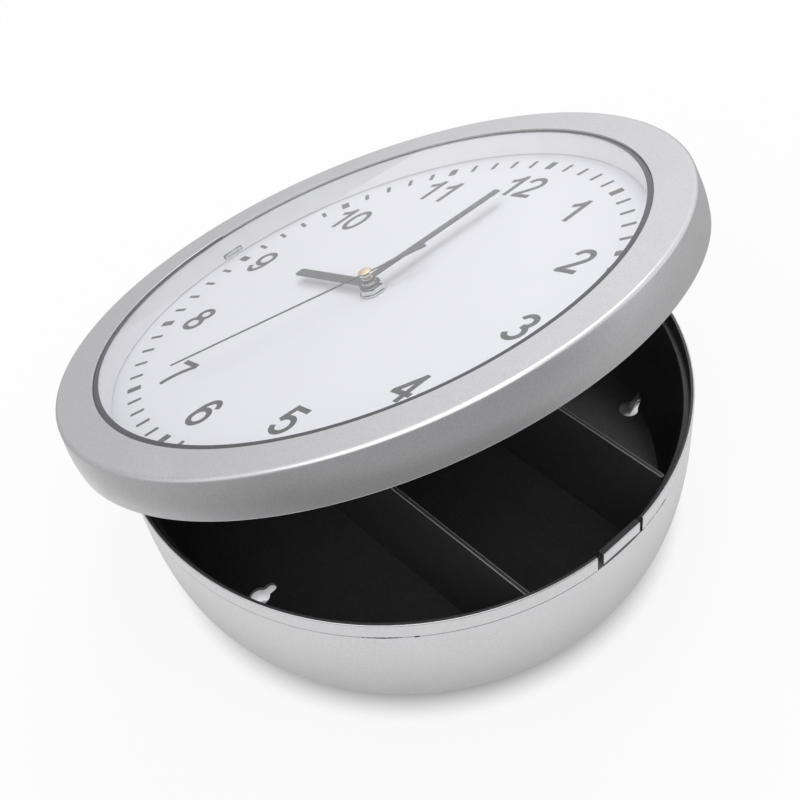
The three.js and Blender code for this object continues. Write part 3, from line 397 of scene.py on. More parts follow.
def roundCorners(bm, width, segments=2, sharp=30):
    # rounds every edge that turns by more than the sharp angle
    edges = [
        e for e in bm.edges
        if len(e.link_faces) == 2 and e.calc_face_angle() > math.radians(sharp)
    ]
    bmesh.ops.bevel(
        bm, geom=edges, offset=width, offset_type="OFFSET", segments=segments, profile=0.5,
        affect="EDGES", clamp_overlap=True, material=-1,
    )
    return bm


def block(low, high):
    bm = bmesh.new()
    bmesh.ops.create_cube(bm, size=1)
    size = Vector(high) - Vector(low)
    bmesh.ops.scale(bm, vec=size, verts=bm.verts)
    bmesh.ops.translate(bm, vec=(Vector(high) + Vector(low)) / 2, verts=bm.verts)
    return bm


def rod(radius, low, high, centre=(0, 0), segments=48, along="Z"):
    # a cylinder along Z or Y; centre is its place across that axis
    bm = bmesh.new()
    bmesh.ops.create_cone(
        bm, cap_ends=True, segments=segments, radius1=radius, radius2=radius, depth=high - low,
    )
    bmesh.ops.translate(bm, vec=(0, 0, (high + low) / 2), verts=bm.verts)
    if along == "Y":
        bm.transform(Matrix.Rotation(-math.pi / 2, 4, "X"))
    place = (centre[0], 0, centre[1]) if along == "Y" else (*centre, 0)
    bmesh.ops.translate(bm, vec=place, verts=bm.verts)
    return bm


def slab(outline, low, high, side=False):
    # an outline of (x, y) points between two heights, or of (x, z) points between two places on Y
    bm = bmesh.new()
    if side:
        verts = [bm.verts.new((x, low, z)) for x, z in outline]
        rise = (0, high - low, 0)
    else:
        verts = [bm.verts.new((x, y, low)) for x, y in outline]
        rise = (0, 0, high - low)
    grown = bmesh.ops.extrude_face_region(bm, geom=[bm.faces.new(verts)])
    moved = [v for v in grown["geom"] if isinstance(v, bmesh.types.BMVert)]
    bmesh.ops.translate(bm, vec=rise, verts=moved)
    bmesh.ops.recalc_face_normals(bm, faces=bm.faces)
    return bm


def roundedStrip(x0, x1, y0, y1, radius, steps=6):
    # outline of a rectangle with round corners
    left, right, low, high = x0 + radius, x1 - radius, y0 + radius, y1 - radius
    outline = []
    for cx, cy, first in ((right, low, -90), (right, high, 0), (left, high, 90), (left, low, 180)):
        for i in range(steps + 1):
            turn = math.radians(first + 90 * i / steps)
            outline.append((cx + radius * math.cos(turn), cy + radius * math.sin(turn)))
    return outline


def looseObject(bm, name="tool"):
    mesh = bpy.data.meshes.new(name)
    bm.to_mesh(mesh)
    bm.free()
    thing = bpy.data.objects.new(name, mesh)
    bpy.context.scene.collection.objects.link(thing)
    return thing


def finalMesh(thing):
    graph = bpy.context.evaluated_depsgraph_get()
    return bpy.data.meshes.new_from_object(thing.evaluated_get(graph))


def combine(bm, others, operation="DIFFERENCE"):
    # cuts the other shapes from the first, or joins them to it
    thing = looseObject(bm, "work")
    tools = [looseObject(other) for other in others]
    for tool in tools:
        cut = thing.modifiers.new("cut", "BOOLEAN")
        cut.object = tool
        cut.operation = operation
        cut.solver = "EXACT"
    mesh = finalMesh(thing)
    made = bmesh.new()
    made.from_mesh(mesh)
    for used in [thing, *tools]:
        bpy.data.objects.remove(used)
    bpy.data.meshes.remove(mesh)
    return made


def together(first, others):
    # puts several shapes into one mesh
    for other in others:
        mesh = bpy.data.meshes.new("part")
        other.to_mesh(mesh)
        other.free()
        first.from_mesh(mesh)
        bpy.data.meshes.remove(mesh)
    return first


def shares(steps):
    # equal shares from 0 to 1
    return [i / steps for i in range(steps + 1)]


def paintFaces(bm, choose):
    # gives each face the number of its material, from its centre
    for face in bm.faces:
        face.material_index = int(choose(face.calc_center_median()))
    return bm


def finish(bm, name, materials, body, slot, *nodes, drawnOpen=False):
    # turns a shape into a finished piece, in metres and in the row's frame
    placed = drawnOpen or body in offLid
    bm.transform(Matrix.Scale(mm, 4) if placed else Matrix.Scale(mm, 4) @ swingOpen)
    for face in bm.faces:
        face.smooth = True
    for edge in bm.edges:
        edge.smooth = len(edge.link_faces) != 2 or edge.calc_face_angle() < math.radians(flatLimit)
    piece = looseObject(bm, name)
    for material in materials if isinstance(materials, list) else [materials]:
        piece.data.materials.append(material)
    weighted = piece.modifiers.new("evenShading", "WEIGHTED_NORMAL")
    weighted.keep_sharp = True
    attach(piece, body)
    if nodes:
        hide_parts(*nodes)


def softCopy(node, name, material, width):
    # a merged copy of a plain solid of the lid, with its edges rounded
    bm = bmesh.new()
    bm.from_mesh(frame["nodes"][node].data)
    bm.transform(Matrix.Scale(1 / mm, 4))
    bmesh.ops.remove_doubles(bm, verts=bm.verts, dist=0.001)
    bmesh.ops.dissolve_limit(bm, angle_limit=math.radians(1), verts=bm.verts, edges=bm.edges)
    roundCorners(bm, width, sharp=40)
    slot = "steel" if material == turnedSteel else "black_plastic"
    finish(bm, name, material, "lid", slot, node, drawnOpen=True)


# Outer bowl

bowl = {
    "depth": levels["shellEdge"],
    "mouthRadius": 114.5,
    "flatRadius": 90,
    "roundness": 2.75,
    "wall": 2,
    "floorShrink": 0.4,
    "curveSteps": 26,
    "edgeRound": 0.1,
    "keyholes": [(0, -88), (44, 88), (-44, 88)],
    "keyholeRadius": 4.2,
    "keyholeSlot": 4.4,
    "keyholeReach": 8,
    "slotRound": 0.9,
    "keyholeTop": 18,
    "tubeTop": 9.65,
    "tubeWall": 1.4,
}
hinge = {
    "pinRadius": 1.2,
    "boreRadius": 1.45,
    "knuckleRadius": 3.3,
    "lugWidth": 14,
    "gap": 0.4,
    "knuckleWidth": 7.6,
    "armHeight": 6,
    "armRun": 4,
    "armBelowEdge": 0.3,
    "armUnder": 0.8,  # of the knuckle's radius, and so is the next
    "armHalf": 0.6,
    "round": 0.3,
}
hingeLine = (hingePoint.x, hingePoint.z)


def bowlCurve(offset):
    # the wall's curve, moved inwards from the outside by an offset
    flat = bowl["flatRadius"] - offset * bowl["floorShrink"]
    reach = bowl["mouthRadius"] - offset - flat
    points = []
    for i in range(bowl["curveSteps"] + 1):
        turn = i / bowl["curveSteps"] * math.pi / 2
        out = math.sin(turn) ** (2 / bowl["roundness"])
        up = 1 - max(math.cos(turn), 0) ** (2 / bowl["roundness"])
        points.append((flat + reach * out, offset + (bowl["depth"] - offset) * up))
    return points


def curveAbove(offset, floor):
    # that curve from a flat floor up
    return [(wallRadius(offset, floor), floor), *(point for point in bowlCurve(offset) if point[1] > floor)]


def wallRadius(offset, height):
    # radius of that curve at a height
    curve = bowlCurve(offset)
    for (lowR, lowZ), (highR, highZ) in zip(curve, curve[1:]):
        if height <= highZ:
            return lowR + (highR - lowR) * max(height - lowZ, 0) / (highZ - lowZ)
    return curve[-1][0]


def keyholeShapes(low, top, wider=0.0):
    # the keyhole's outline as solids between two heights
    shapes = []
    half = bowl["keyholeSlot"] / 2 + wider
    for x, y in bowl["keyholes"]:
        end = y + bowl["keyholeReach"] + wider
        slot = slab(roundedStrip(x - half, x + half, y, end, half * bowl["slotRound"]), low, top)
        hole = rod(bowl["keyholeRadius"] + wider, low, top, (x, y))
        shapes.append(combine(hole, [slot], "UNION"))
    return shapes


def keyholeTools():
    return keyholeShapes(-spare, bowl["keyholeTop"])


def keyholeWalls():
    # short tubes that join the two walls round each keyhole, trimmed where the bowl curves up
    middle = bowl["wall"] / 2
    trimmed = []
    for tube, tool in zip(keyholeShapes(middle, bowl["tubeTop"], bowl["tubeWall"]), keyholeTools()):
        core = lathe([(0, middle), *bowlCurve(middle), (0, bowl["depth"])], closed=False)
        trimmed.append(combine(combine(tube, [core], "INTERSECT"), [tool]))
    return trimmed


def hingeRod(radius, low, high, steps=2):
    # a rounded cylinder on the hinge's line
    return roundCorners(rod(radius, low, high, hingeLine, along="Y"), hinge["round"], steps, sharp=60)


def hingeBore():
    reach = hinge["lugWidth"] / 2 + hinge["gap"] + hinge["knuckleWidth"] + spare
    return rod(hinge["boreRadius"], -reach, reach, hingeLine, along="Y")


def makeBowl():
    outside = bowlCurve(0)
    inside = bowlCurve(bowl["wall"])[::-1]
    shell = lathe([(0, 0), *outside, *inside, (0, bowl["wall"])])
    roundRings(shell, (bowl["mouthRadius"], bowl["depth"], bowl["edgeRound"]))
    half = hinge["lugWidth"] / 2
    top = bowl["depth"] - hinge["armBelowEdge"]
    wallX = -wallRadius(bowl["wall"] / 2, top - hinge["armHeight"])
    knuckle = hinge["knuckleRadius"]
    under = hingePoint.z - knuckle * hinge["armUnder"]
    arm = slab([
        (wallX, top), (wallX, top - hinge["armHeight"]),
        (hingePoint.x + knuckle * hinge["armHalf"], under),
        (hingePoint.x - knuckle * hinge["armHalf"], under),
        hingeLine, (hingePoint.x + hinge["armRun"], top),
    ], -half, half, side=True)
    shell = combine(shell, [arm, hingeRod(knuckle, -half, half)], "UNION")
    shell = combine(shell, [*keyholeTools(), hingeBore()])
    # the lower keyhole's wall is painted pale, as painted light coming in from behind; the two upper ones are
    # painted dark grey, as painted shade
    for number, tube in zip((1, 2, 2), keyholeWalls()):
        shell = together(shell, [paintFaces(tube, lambda centre: number)])
    finish(shell, "outer_bowl", [silverWorn, litHoleWall, shadedHoleWall], "body", "silver_paint", "back_shell")


makeBowl()
print("bowl made")


# Liner: black tray, its ledge, and the band round the mouth

liner = {
    "outside": 2.3,
    "inside": 4.1,
    "floor": 11.5,
    "floorThickness": 1.8,
    "bandWall": 1.6,
    "bandRound": 0.45,
    "bandInnerRound": 0.22,
    "bandLowRound": 0.1,
    "ledgeRound": 0.4,
    "notchWidth": 24,
    "notchInner": 112.3,
    "notchBelow": 0.2,
    "shelfFromCentre": 36,
    "shelfThickness": 1.8,
    "guideGap": 0.25,
    "guideWall": 1.5,
    "guideDepth": 3,
    "guideTop": 46,
    "guideSteps": 10,
    "guideSunk": 0.5,
    "guideEndSunk": 0.9,
    "guideRound": 0.2,
}


def widening(low, top, steps):
    # heights that lie closer together at the foot, where the wall curves most
    return [low + (top - low) * share ** 2 for share in shares(steps)]


def guideRibs():
    ribs = []
    heights = widening(liner["floor"] - liner["guideSunk"], liner["guideTop"], liner["guideSteps"])
    for shelfSide in (1, -1):
        for face in (1, -1):
            gap = face * (liner["shelfThickness"] / 2 + liner["guideGap"])
            near = shelfSide * liner["shelfFromCentre"] + gap
            far = near + face * liner["guideWall"]
            across = max(abs(near), abs(far))
            radii = [wallRadius(liner["inside"] - liner["guideEndSunk"], z) for z in heights]
            wall = [math.sqrt(radius ** 2 - across ** 2) for radius in radii]
            for end in (1, -1):
                outer = [(end * x, z) for x, z in zip(wall, heights)]
                inner = [(end * (x - liner["guideDepth"]), z) for x, z in zip(wall, heights)][::-1]
                rib = slab(outer + inner, min(near, far), max(near, far), side=True)
                ribs.append(roundCorners(rib, liner["guideRound"], sharp=50))
    return ribs


def makeLiner():
    under = liner["floor"] - liner["floorThickness"]
    outside = curveAbove(liner["outside"], under)
    inside = curveAbove(liner["inside"], liner["floor"])[::-1]
    mouth = bowl["mouthRadius"]
    bandInner = mouth - liner["bandWall"]
    low, top, ledge = levels["bandLow"], levels["bandTop"], levels["ledge"]
    innerRadius = inside[0][0]
    tray = lathe([
        (0, under), *outside, (outside[-1][0], low), (mouth, low), (mouth, top),
        (bandInner, top), (bandInner, ledge), (innerRadius, ledge), *inside, (0, liner["floor"]),
    ])
    roundRings(
        tray, (mouth, top, liner["bandRound"], 4), (bandInner, top, liner["bandInnerRound"]),
        (mouth, low, liner["bandLowRound"]), (innerRadius, ledge, liner["ledgeRound"]),
    )
    half = liner["notchWidth"] / 2
    notch = block((liner["notchInner"], -half, low - liner["notchBelow"]), (mouth + spare, half, top + spare))
    tray = combine(tray, [notch, *keyholeTools()])
    # the band is painted outside and over its outer edge
    paintFaces(tray, lambda centre: centre.xy.length > mouth - liner["bandRound"] and centre.z > low)
    tray = together(tray, guideRibs())
    finish(tray, "black_liner", [black, silverWorn], "body", "black_plastic", "inner_tray")


makeLiner()
print("liner made")


# Shelves

shelf = {
    "foot": 11.8, "top": 62, "endGap": 0.5, "round": 0.34, "steps": 14, "straight": 0.995, "upward": 0.1,
}


def makeShelf(side, name, body, node):
    y = side * liner["shelfFromCentre"]
    half = liner["shelfThickness"] / 2
    across = abs(y) + half
    heights = widening(shelf["foot"], shelf["top"], shelf["steps"])
    ends = [math.sqrt(wallRadius(liner["inside"], z) ** 2 - across ** 2) - shelf["endGap"] for z in heights]
    outline = list(zip(ends, heights)) + [(-x, z) for x, z in zip(ends, heights)][::-1]
    plate = slab(outline, y - half, y + half, side=True)
    roundCorners(plate, shelf["round"], segments=3, sharp=50)
    # the upper edges get a painted highlight: a pale colour, and a lower roughness
    plate.normal_update()
    for face in plate.faces:
        turned = max(abs(part) for part in face.normal)
        face.material_index = int(turned < shelf["straight"] and face.normal.z > shelf["upward"])
    finish(plate, name, [black, blackEdgeHighlight], body, "black_plastic", node)


makeShelf(1, "upper_panel", "upper_shelf", "shelf_upper")
makeShelf(-1, "lower_panel", "lower_shelf", "shelf_lower")


# Latch tongue

latch = {
    "width": 19.2, "shift": 0.6, "face": 114.2, "thickness": 1.6, "low": 62.7, "top": 68.4,
    "lip": 1.0, "footReach": 1.6, "footLow": 63.3, "footThickness": 1.2, "round": 0.3,
    "lipHeight": 1, "paintStart": 0.45,
}


def makeLatch():
    low, top, face = latch["low"], latch["top"], latch["face"]
    back = face - latch["thickness"]
    footEnd, footLow = back - latch["footReach"], latch["footLow"]
    footTop, lipX, lipLow = footLow + latch["footThickness"], back - latch["lip"], top - latch["lipHeight"]
    outline = [
        (footEnd, footLow), (back, footLow), (back, low), (face, low), (face, top), (lipX, top),
        (lipX, lipLow), (back, lipLow), (back, footTop), (footEnd, footTop),
    ]
    half = latch["width"] / 2
    tongue = slab(outline, latch["shift"] - half, latch["shift"] + half, side=True)
    roundCorners(tongue, latch["round"], segments=3, sharp=50)
    paintFaces(tongue, lambda centre: centre.x > back + latch["paintStart"] and centre.z > low)
    finish(tongue, "latch_tongue", [black, silverWorn], "latch", "silver_paint", "latch_tab")


def makePin():
    reach = hinge["lugWidth"] / 2 + hinge["gap"] + hinge["knuckleWidth"]
    pin = hingeRod(hinge["pinRadius"], -reach, reach, 3)
    finish(pin, "hinge_rod", steel, "body", "steel", "hinge_pin")


makeLatch()
makePin()
print("shelves, latch and pin made")


# Bezel

bezel = {
    "skirtRadius": 127.5, "faceRadius": 126.4, "skirtWall": 2.3, "faceThickness": 2,
    "skirtCurve": [
        (127.25, 61.5), (127.45, 64.5), (127.5, 67.0), (127.38, 69.8), (127.05, 72.8), (126.4, 78),
    ],
    "openingRadius": 111.1, "tubeWall": 1.9, "edgeRound": 1.4, "innerRound": 0.2, "skirtLow": 61.5,
    "lowRound": 0.45, "bossRadius": 2.8, "screwCircle": 117.4, "screwCount": 6, "firstScrew": 30,
    "pilotRadius": 1.1, "flangeRadius": 120.3, "tubeRound": 0.5, "rootRound": 0.8,
    "highlightHeight": 0.8, "highlightDepth": 0.12, "highlightFrom": 1, "webGap": 0.3, "webBelow": 1,
    "bossSunk": 1, "pilotStop": 1,
}
screwAngles = [
    math.radians(bezel["firstScrew"] + i * 360 / bezel["screwCount"]) for i in range(bezel["screwCount"])
]
screwPlaces = [
    (bezel["screwCircle"] * math.cos(a), bezel["screwCircle"] * math.sin(a)) for a in screwAngles
]


def bezelKnuckle(side):
    near = side * (hinge["lugWidth"] / 2 + hinge["gap"])
    far = near + side * hinge["knuckleWidth"]
    low, high = min(near, far), max(near, far)
    outer = -math.sqrt(bezel["skirtRadius"] ** 2 - far ** 2) + bezel["skirtWall"] / 2
    inner = -bezel["flangeRadius"] - bezel["webGap"]
    web = block((outer, low, hingePoint.z), (inner, high, levels["face"] - bezel["webBelow"]))
    return [hingeRod(hinge["knuckleRadius"], low, high), web]


def makeBezel():
    face, low, opening = levels["face"], bezel["skirtLow"], bezel["openingRadius"]
    outer, top, thick = bezel["skirtRadius"], bezel["faceRadius"], bezel["skirtWall"]
    under, tubeLow = face - bezel["faceThickness"], levels["tubeLow"]
    tube = opening + bezel["tubeWall"]
    ring = lathe([
        (outer - thick, low), *bezel["skirtCurve"], (opening, face), (opening, tubeLow),
        (tube, tubeLow), (tube, under), (top - thick, under),
    ])
    roundRings(
        ring, (top, face, bezel["edgeRound"], 6), (bezel["skirtCurve"][0][0], low, bezel["lowRound"], 4),
        (outer - thick, low, bezel["lowRound"], 4), (opening, face, bezel["innerRound"], 5),
        (tube, under, bezel["tubeRound"]), (top - thick, under, bezel["rootRound"]),
    )
    half = hinge["lugWidth"] / 2 + hinge["gap"]
    knuckle = hinge["knuckleRadius"]
    room = block(
        (-outer - spare, -half, low - spare), (hingePoint.x + knuckle, half, hingePoint.z + knuckle + spare)
    )
    ring = combine(ring, [room])
    sunk, stop = under + bezel["bossSunk"], under - bezel["pilotStop"]
    bosses = [rod(bezel["bossRadius"], tubeLow, sunk, place) for place in screwPlaces]
    ring = combine(ring, [*bezelKnuckle(1), *bezelKnuckle(-1), *bosses], "UNION")
    pilots = [rod(bezel["pilotRadius"], tubeLow - spare, stop, place) for place in screwPlaces]
    ring = combine(ring, [*pilots, hingeBore()])

    def rubbed(centre):
        # painted highlight, pale and not metallic: the skirt's lower edge, and the upper half of the
        # opening's edge
        reach = centre.xy.length
        skirtEdge = reach > outer - thick and centre.z < low + bezel["lowRound"] * bezel["highlightHeight"]
        openingEdge = reach < opening + bezel["highlightDepth"] and centre.z > tubeLow + bezel["highlightFrom"]
        return skirtEdge or (openingEdge and centre.y > 0)
    paintFaces(ring, rubbed)
    finish(ring, "silver_bezel", [silver, paintedEdgeHighlight], "lid", "silver_paint", "bezel")


makeBezel()
print("bezel made")


# Lens, dial wall and dial

lens = {
    "radius": 111.05, "thickness": 1.0, "edgeWidth": 2.3, "edgeDrop": 0.6, "round": 0.1,
    "rimShadeFrom": 0.01, "rimShadeAbove": 0.1,
}
wall = {
    "topRadius": 110.8, "footRadius": 108.2, "thickness": 1, "top": 76.1, "foot": 66.7,
    "windowWidth": 10, "windowHeight": 2.2, "windowLow": 67.2, "clipWidth": 8.8, "clipHeight": 1.6,
    "clipLeg": 1.5, "clipThickness": 0.25, "clipRound": 0.1, "clipSunk": 0.1, "round": 0.3,
}
dial = {
    "radius": 109.2, "hole": 3.5, "low": 65.9, "tickInner": 96.3, "tickOuter": 101.9,
    "minuteTick": 1.8, "hourTick": 3.45, "tickRound": 0.35, "inkThickness": 0.06, "inkSunk": 0.02,
    "stroke": 2.35, "digitGap": 10.9, "arcSteps": 28, "bendSteps": 14,
    "places": {
        1: (41.5, 70.2), 2: (72.4, 40.6), 3: (84, 1), 4: (71.5, -39.6), 5: (42, -70.6), 6: (1.2, -81.8),
        7: (-39, -70.8), 8: (-71.3, -41.6), 9: (-85, 0.8), 10: (-70.6, 40.8), 11: (-42.2, 70.8),
        12: (0, 81.8),
    },
}


def makeLensPiece():
    top, radius = levels["lensTop"], lens["radius"]
    low = top - lens["thickness"]
    shoulder, inner = top - lens["edgeDrop"], radius - lens["edgeWidth"]
    disc = lathe([(0, low), (radius, low), (radius, shoulder), (inner, top), (0, top)], closed=False)
    roundRings(disc, (radius, shoulder, lens["round"]))
    # the sloping edge is painted dark, a painted shade for the dark band that refraction shows at the lens's
    # edge
    rimShadeStart, rimShadeLow = inner + lens["rimShadeFrom"], low + lens["rimShadeAbove"]
    paintFaces(disc, lambda centre: centre.xy.length > rimShadeStart and centre.z > rimShadeLow)
    finish(disc, "clear_lens", [lensClear, lensRimPaintedShade], "lid", "clear_lens", "lens")


def makeDialWall():
    top, foot, thin = wall["topRadius"], wall["footRadius"], wall["thickness"]
    ring = lathe([
        (foot, wall["foot"]), (foot + thin, wall["foot"]), (foot + thin, levels["tubeLow"]),
        (top, levels["tubeLow"]), (top, wall["top"]), (top - thin, wall["top"]),
    ])
    roundRings(ring, (top - thin, wall["top"], wall["round"]))
    half = wall["windowWidth"] / 2
    window = block(
        (-top - spare, -half, wall["windowLow"]),
        (-foot + thin, half, wall["windowLow"] + wall["windowHeight"]),
    )
    ring = combine(ring, [roundCorners(window, wall["round"], segments=3)])
    # the clip that shows in the window at 9 o'clock: a strip with a bent leg at each end
    middle = wall["windowLow"] + wall["windowHeight"] / 2
    reach, tall = wall["clipWidth"] / 2, wall["clipHeight"] / 2
    back, front = -foot - thin + wall["clipSunk"], -foot + wall["clipSunk"]
    clip = block((back, -reach, middle - tall), (back + wall["clipThickness"], reach, middle + tall))
    legs = []
    for end in (1, -1):
        near, far = sorted((end * (reach - wall["clipLeg"]), end * reach))
        legs.append(block((back, near, middle - tall), (front, far, middle + tall)))
    clip = roundCorners(combine(clip, legs, "UNION"), wall["clipRound"])
    finish(clip, "wall_clip", turnedSteel, "lid", "steel")
    finish(ring, "dial_wall", wallWhite, "lid", "pale_plastic", "dial_ring")


def makeDial():
    top, low = levels["dialTop"], dial["low"]
    plate = lathe([(dial["hole"], low), (dial["radius"], low), (dial["radius"], top), (dial["hole"], top)])
    finish(plate, "dial_face", dialPaper, "lid", "white_dial", "dial_plate")


def inked(outline):
    # an outline as ink on the dial
    return slab(outline, levels["dialTop"] - dial["inkSunk"], levels["dialTop"] + dial["inkThickness"])


def makeTicks():
    marks = bmesh.new()
    low, high = dial["tickInner"], dial["tickOuter"]
    for minute in range(60):
        half = (dial["hourTick"] if minute % 5 == 0 else dial["minuteTick"]) / 2
        tick = inked(roundedStrip(-half, half, low, high, dial["tickRound"], steps=4))
        tick.transform(Matrix.Rotation(-math.radians(6 * minute), 4, "Z"))
        marks = together(marks, [tick])
    finish(marks, "minute_marks", ink, "lid", "grey_hand")


def arc(cx, cy, rx, ry, first, last):
    # points round an ellipse, from one angle to another in degrees
    steps = dial["arcSteps"]
    angles = [math.radians(first + (last - first) * i / steps) for i in range(steps + 1)]
    return [(cx + rx * math.cos(a), cy + ry * math.sin(a)) for a in angles]


def loop(*ellipse):
    # a closed ellipse, as two strokes whose ends overlap
    return [arc(*ellipse, -4, 184), arc(*ellipse, 176, 364)]


def bend(start, middle, end):
    # a quadratic curve between two points
    return [
        tuple((1 - t) ** 2 * a + 2 * t * (1 - t) * b + t ** 2 * c for a, b, c in zip(start, middle, end))
        for t in shares(dial["bendSteps"])
    ]


six = [*loop(0, -2.45, 3.95, 4.1), arc(0.15, 0, 4.1, 6.6, 195, 32)]
digitStrokes = {  # the middle line of every stroke, in a frame 15.5 high
    "0": loop(0, 0, 4.1, 6.6),
    "1": [[(2.0, -7.75), (2.0, 7.75)], bend((2.4, 7.0), (0.4, 4.0), (-3.4, 2.9))],
    "2": [
        arc(0, 2.9, 3.85, 3.7, 172, -22) + bend((3.3, 1.1), (1.6, -1.4), (-3.6, -6.1)),
        [(-4.9, -6.57), (4.9, -6.57)], [(-4.3, -7.4), (-2.6, -5.2)],
    ],
    "3": [arc(-0.1, 3.45, 3.3, 3.15, 165, -85), arc(-0.1, -3.0, 3.75, 3.55, 92, -165)],
    "4": [[(1.9, -7.75), (1.9, 7.75)], [(2.3, 7.5), (-4.2, -3.4)], [(-5.0, -3.1), (4.9, -3.1)]],
    "5": [
        [(-3.6, 6.57), (4.1, 6.57)], [(-2.8, 7.75), (-3.9, -0.7)],
        arc(0, -2.4, 3.95, 4.15, 158, -160),
    ],
    "6": six,
    "7": [[(-4.9, 6.57), (4.9, 6.57)], bend((4.6, 6.3), (-0.6, 0.8), (-1.4, -7.75))],
    "8": [*loop(0, 3.6, 3.3, 3.0), *loop(0, -3.1, 3.95, 3.5)],
    "9": [[(-x, -y) for x, y in line] for line in six],
}


def strokeShape(line):
    # a flat bar that follows a line of points
    left, right = [], []
    for i, point in enumerate(line):
        before, after = line[max(i - 1, 0)], line[min(i + 1, len(line) - 1)]
        along = Vector((after[0] - before[0], after[1] - before[1])).normalized()
        across = Vector((-along.y, along.x)) * dial["stroke"] / 2
        left.append((point[0] + across.x, point[1] + across.y))
        right.append((point[0] - across.x, point[1] - across.y))
    return inked(left + right[::-1])


def makeDigit(digit):
    first, *others = [strokeShape(line) for line in digitStrokes[digit]]
    return combine(first, others, "UNION") if others else first


def makeNumerals():
    numerals = bmesh.new()
    for hour, (x, y) in dial["places"].items():
        digits = str(hour)
        for i, digit in enumerate(digits):
            shape = makeDigit(digit)
            shift = (i - (len(digits) - 1) / 2) * dial["digitGap"]
            bmesh.ops.translate(shape, vec=(x + shift, y, 0), verts=shape.verts)
            numerals = together(numerals, [shape])
    finish(numerals, "numerals", ink, "lid", "grey_hand")


makeLensPiece()
makeDialWall()
makeDial()
makeTicks()
makeNumerals()
print("dial made")


# Hands, and what holds them

hands = {
    "thickness": 0.4, "round": 0.12, "tipRound": 0.45, "hubSteps": 72,
    "bushWall": 0.55, "bushBelow": 0.35, "bushAbove": 0.25, "bushRound": 0.12,
    "hour": {"length": 46.5, "width": 4.6, "height": 3.5, "hub": 4.2, "bore": 2.5, "angle": 265.9},
    "minute": {"length": 69, "width": 3.6, "height": 5.5, "hub": 3.2, "bore": 1.65, "angle": 1.2},
    "second": {
        "length": 80.8, "width": 0.7, "height": 7.9, "hub": 1.3, "bore": 0.8, "angle": 202.2,
        "weightStart": 8.6, "weightEnd": 25.4, "weightWidth": 2.2, "endRound": 0.5, "edgeRound": 0.072,
        "hubWall": 0.5, "stalkBelow": 1, "stalkRound": 0.15,
    },
    "collarRadius": 3.2, "sleeveRadius": 3.36, "sleeveTop": 2.75,
    "sleeveSunk": 0.1, "sleeveEndSunk": 0.12, "sleeveGap": 0.02, "pitch": 0.35,
    "nutWidth": 8.8, "nutHeight": 1.6, "nutLow": 1.0, "nutBore": 3.45,
    "crownReach": 0.9, "crownDrop": 0.55, "crownInset": 0.1,
    "washerRadius": 5.2, "washerLow": 0.3, "washerTop": 0.7, "washerRound": 0.12,
    "capRadius": 2.8, "capThickness": 1.1, "capLow": 8.6, "capFoot": 0.86, "capSide": 0.35,
}


def turnedHand(bm, hand):
    bm.transform(Matrix.Rotation(-math.radians(hand["angle"]), 4, "Z"))
    return bm


def makeBladeHand(name, hand, body, node):
    low = levels["dialTop"] + hand["height"]
    high = low + hands["thickness"]
    half, bore = hand["width"] / 2, hand["bore"]
    blade = slab(roundedStrip(-half, half, 0, hand["length"], half * hands["tipRound"]), low, high)
    flat = combine(blade, [rod(hand["hub"], low, high, segments=hands["hubSteps"])], "UNION")
    flat = combine(flat, [rod(bore, low - spare, high + spare)])
    roundCorners(flat, hands["round"], sharp=60)
    # bush pressed into the hand's hub
    rim, foot, top = bore + hands["bushWall"], low - hands["bushBelow"], high + hands["bushAbove"]
    bush = lathe([(bore, foot), (rim, foot), (rim, top), (bore, top)], steps=64)
    roundRings(bush, (rim, top, hands["bushRound"]))
    whole = turnedHand(together(flat, [paintFaces(bush, lambda centre: 1)]), hand)
    finish(whole, name, [handGrey, turnedSteel], body, "grey_hand", node)


def makeSecondHand():
    hand = hands["second"]
    low = levels["dialTop"] + hand["height"]
    high = low + hands["thickness"]

    def bar(width, start, end):
        return slab(roundedStrip(-width / 2, width / 2, start, end, width / 2 * hand["endRound"]), low, high)
    needle = bar(hand["width"], -hand["weightStart"] - spare, hand["length"])
    weight = bar(hand["weightWidth"], -hand["weightEnd"], -hand["weightStart"])
    flat = combine(needle, [weight, rod(hand["hub"] + hand["hubWall"], low, high)], "UNION")
    roundCorners(flat, hand["edgeRound"], sharp=60)
    bore, hub, foot, top = hand["bore"], hand["hub"], low - hand["stalkBelow"], high + hands["bushAbove"]
    stalk = lathe([(bore, foot), (hub, foot), (hub, top), (bore, top)], steps=48)
    roundRings(stalk, (hub, foot, hand["stalkRound"]))
    whole = turnedHand(together(flat, [paintFaces(stalk, lambda centre: 1)]), hand)
    finish(whole, "second_needle", [handGrey, palePlastic], "seconds", "grey_hand", "second_hand")


def makeCap():
    low = levels["dialTop"] + hands["capLow"]
    radius, thick, side = hands["capRadius"], hands["capThickness"], hands["capSide"]
    dome = [(0, low), (radius * hands["capFoot"], low), (radius, low + thick * side)]
    for share in shares(8)[1:]:
        turn = share * math.pi / 2
        dome.append((radius * math.cos(turn), low + thick * (side + (1 - side) * math.sin(turn))))
    cap = lathe(dome, closed=False, steps=72)
    finish(cap, "gold_dome", gold, "seconds", "gold_cap", "second_hand_cap")


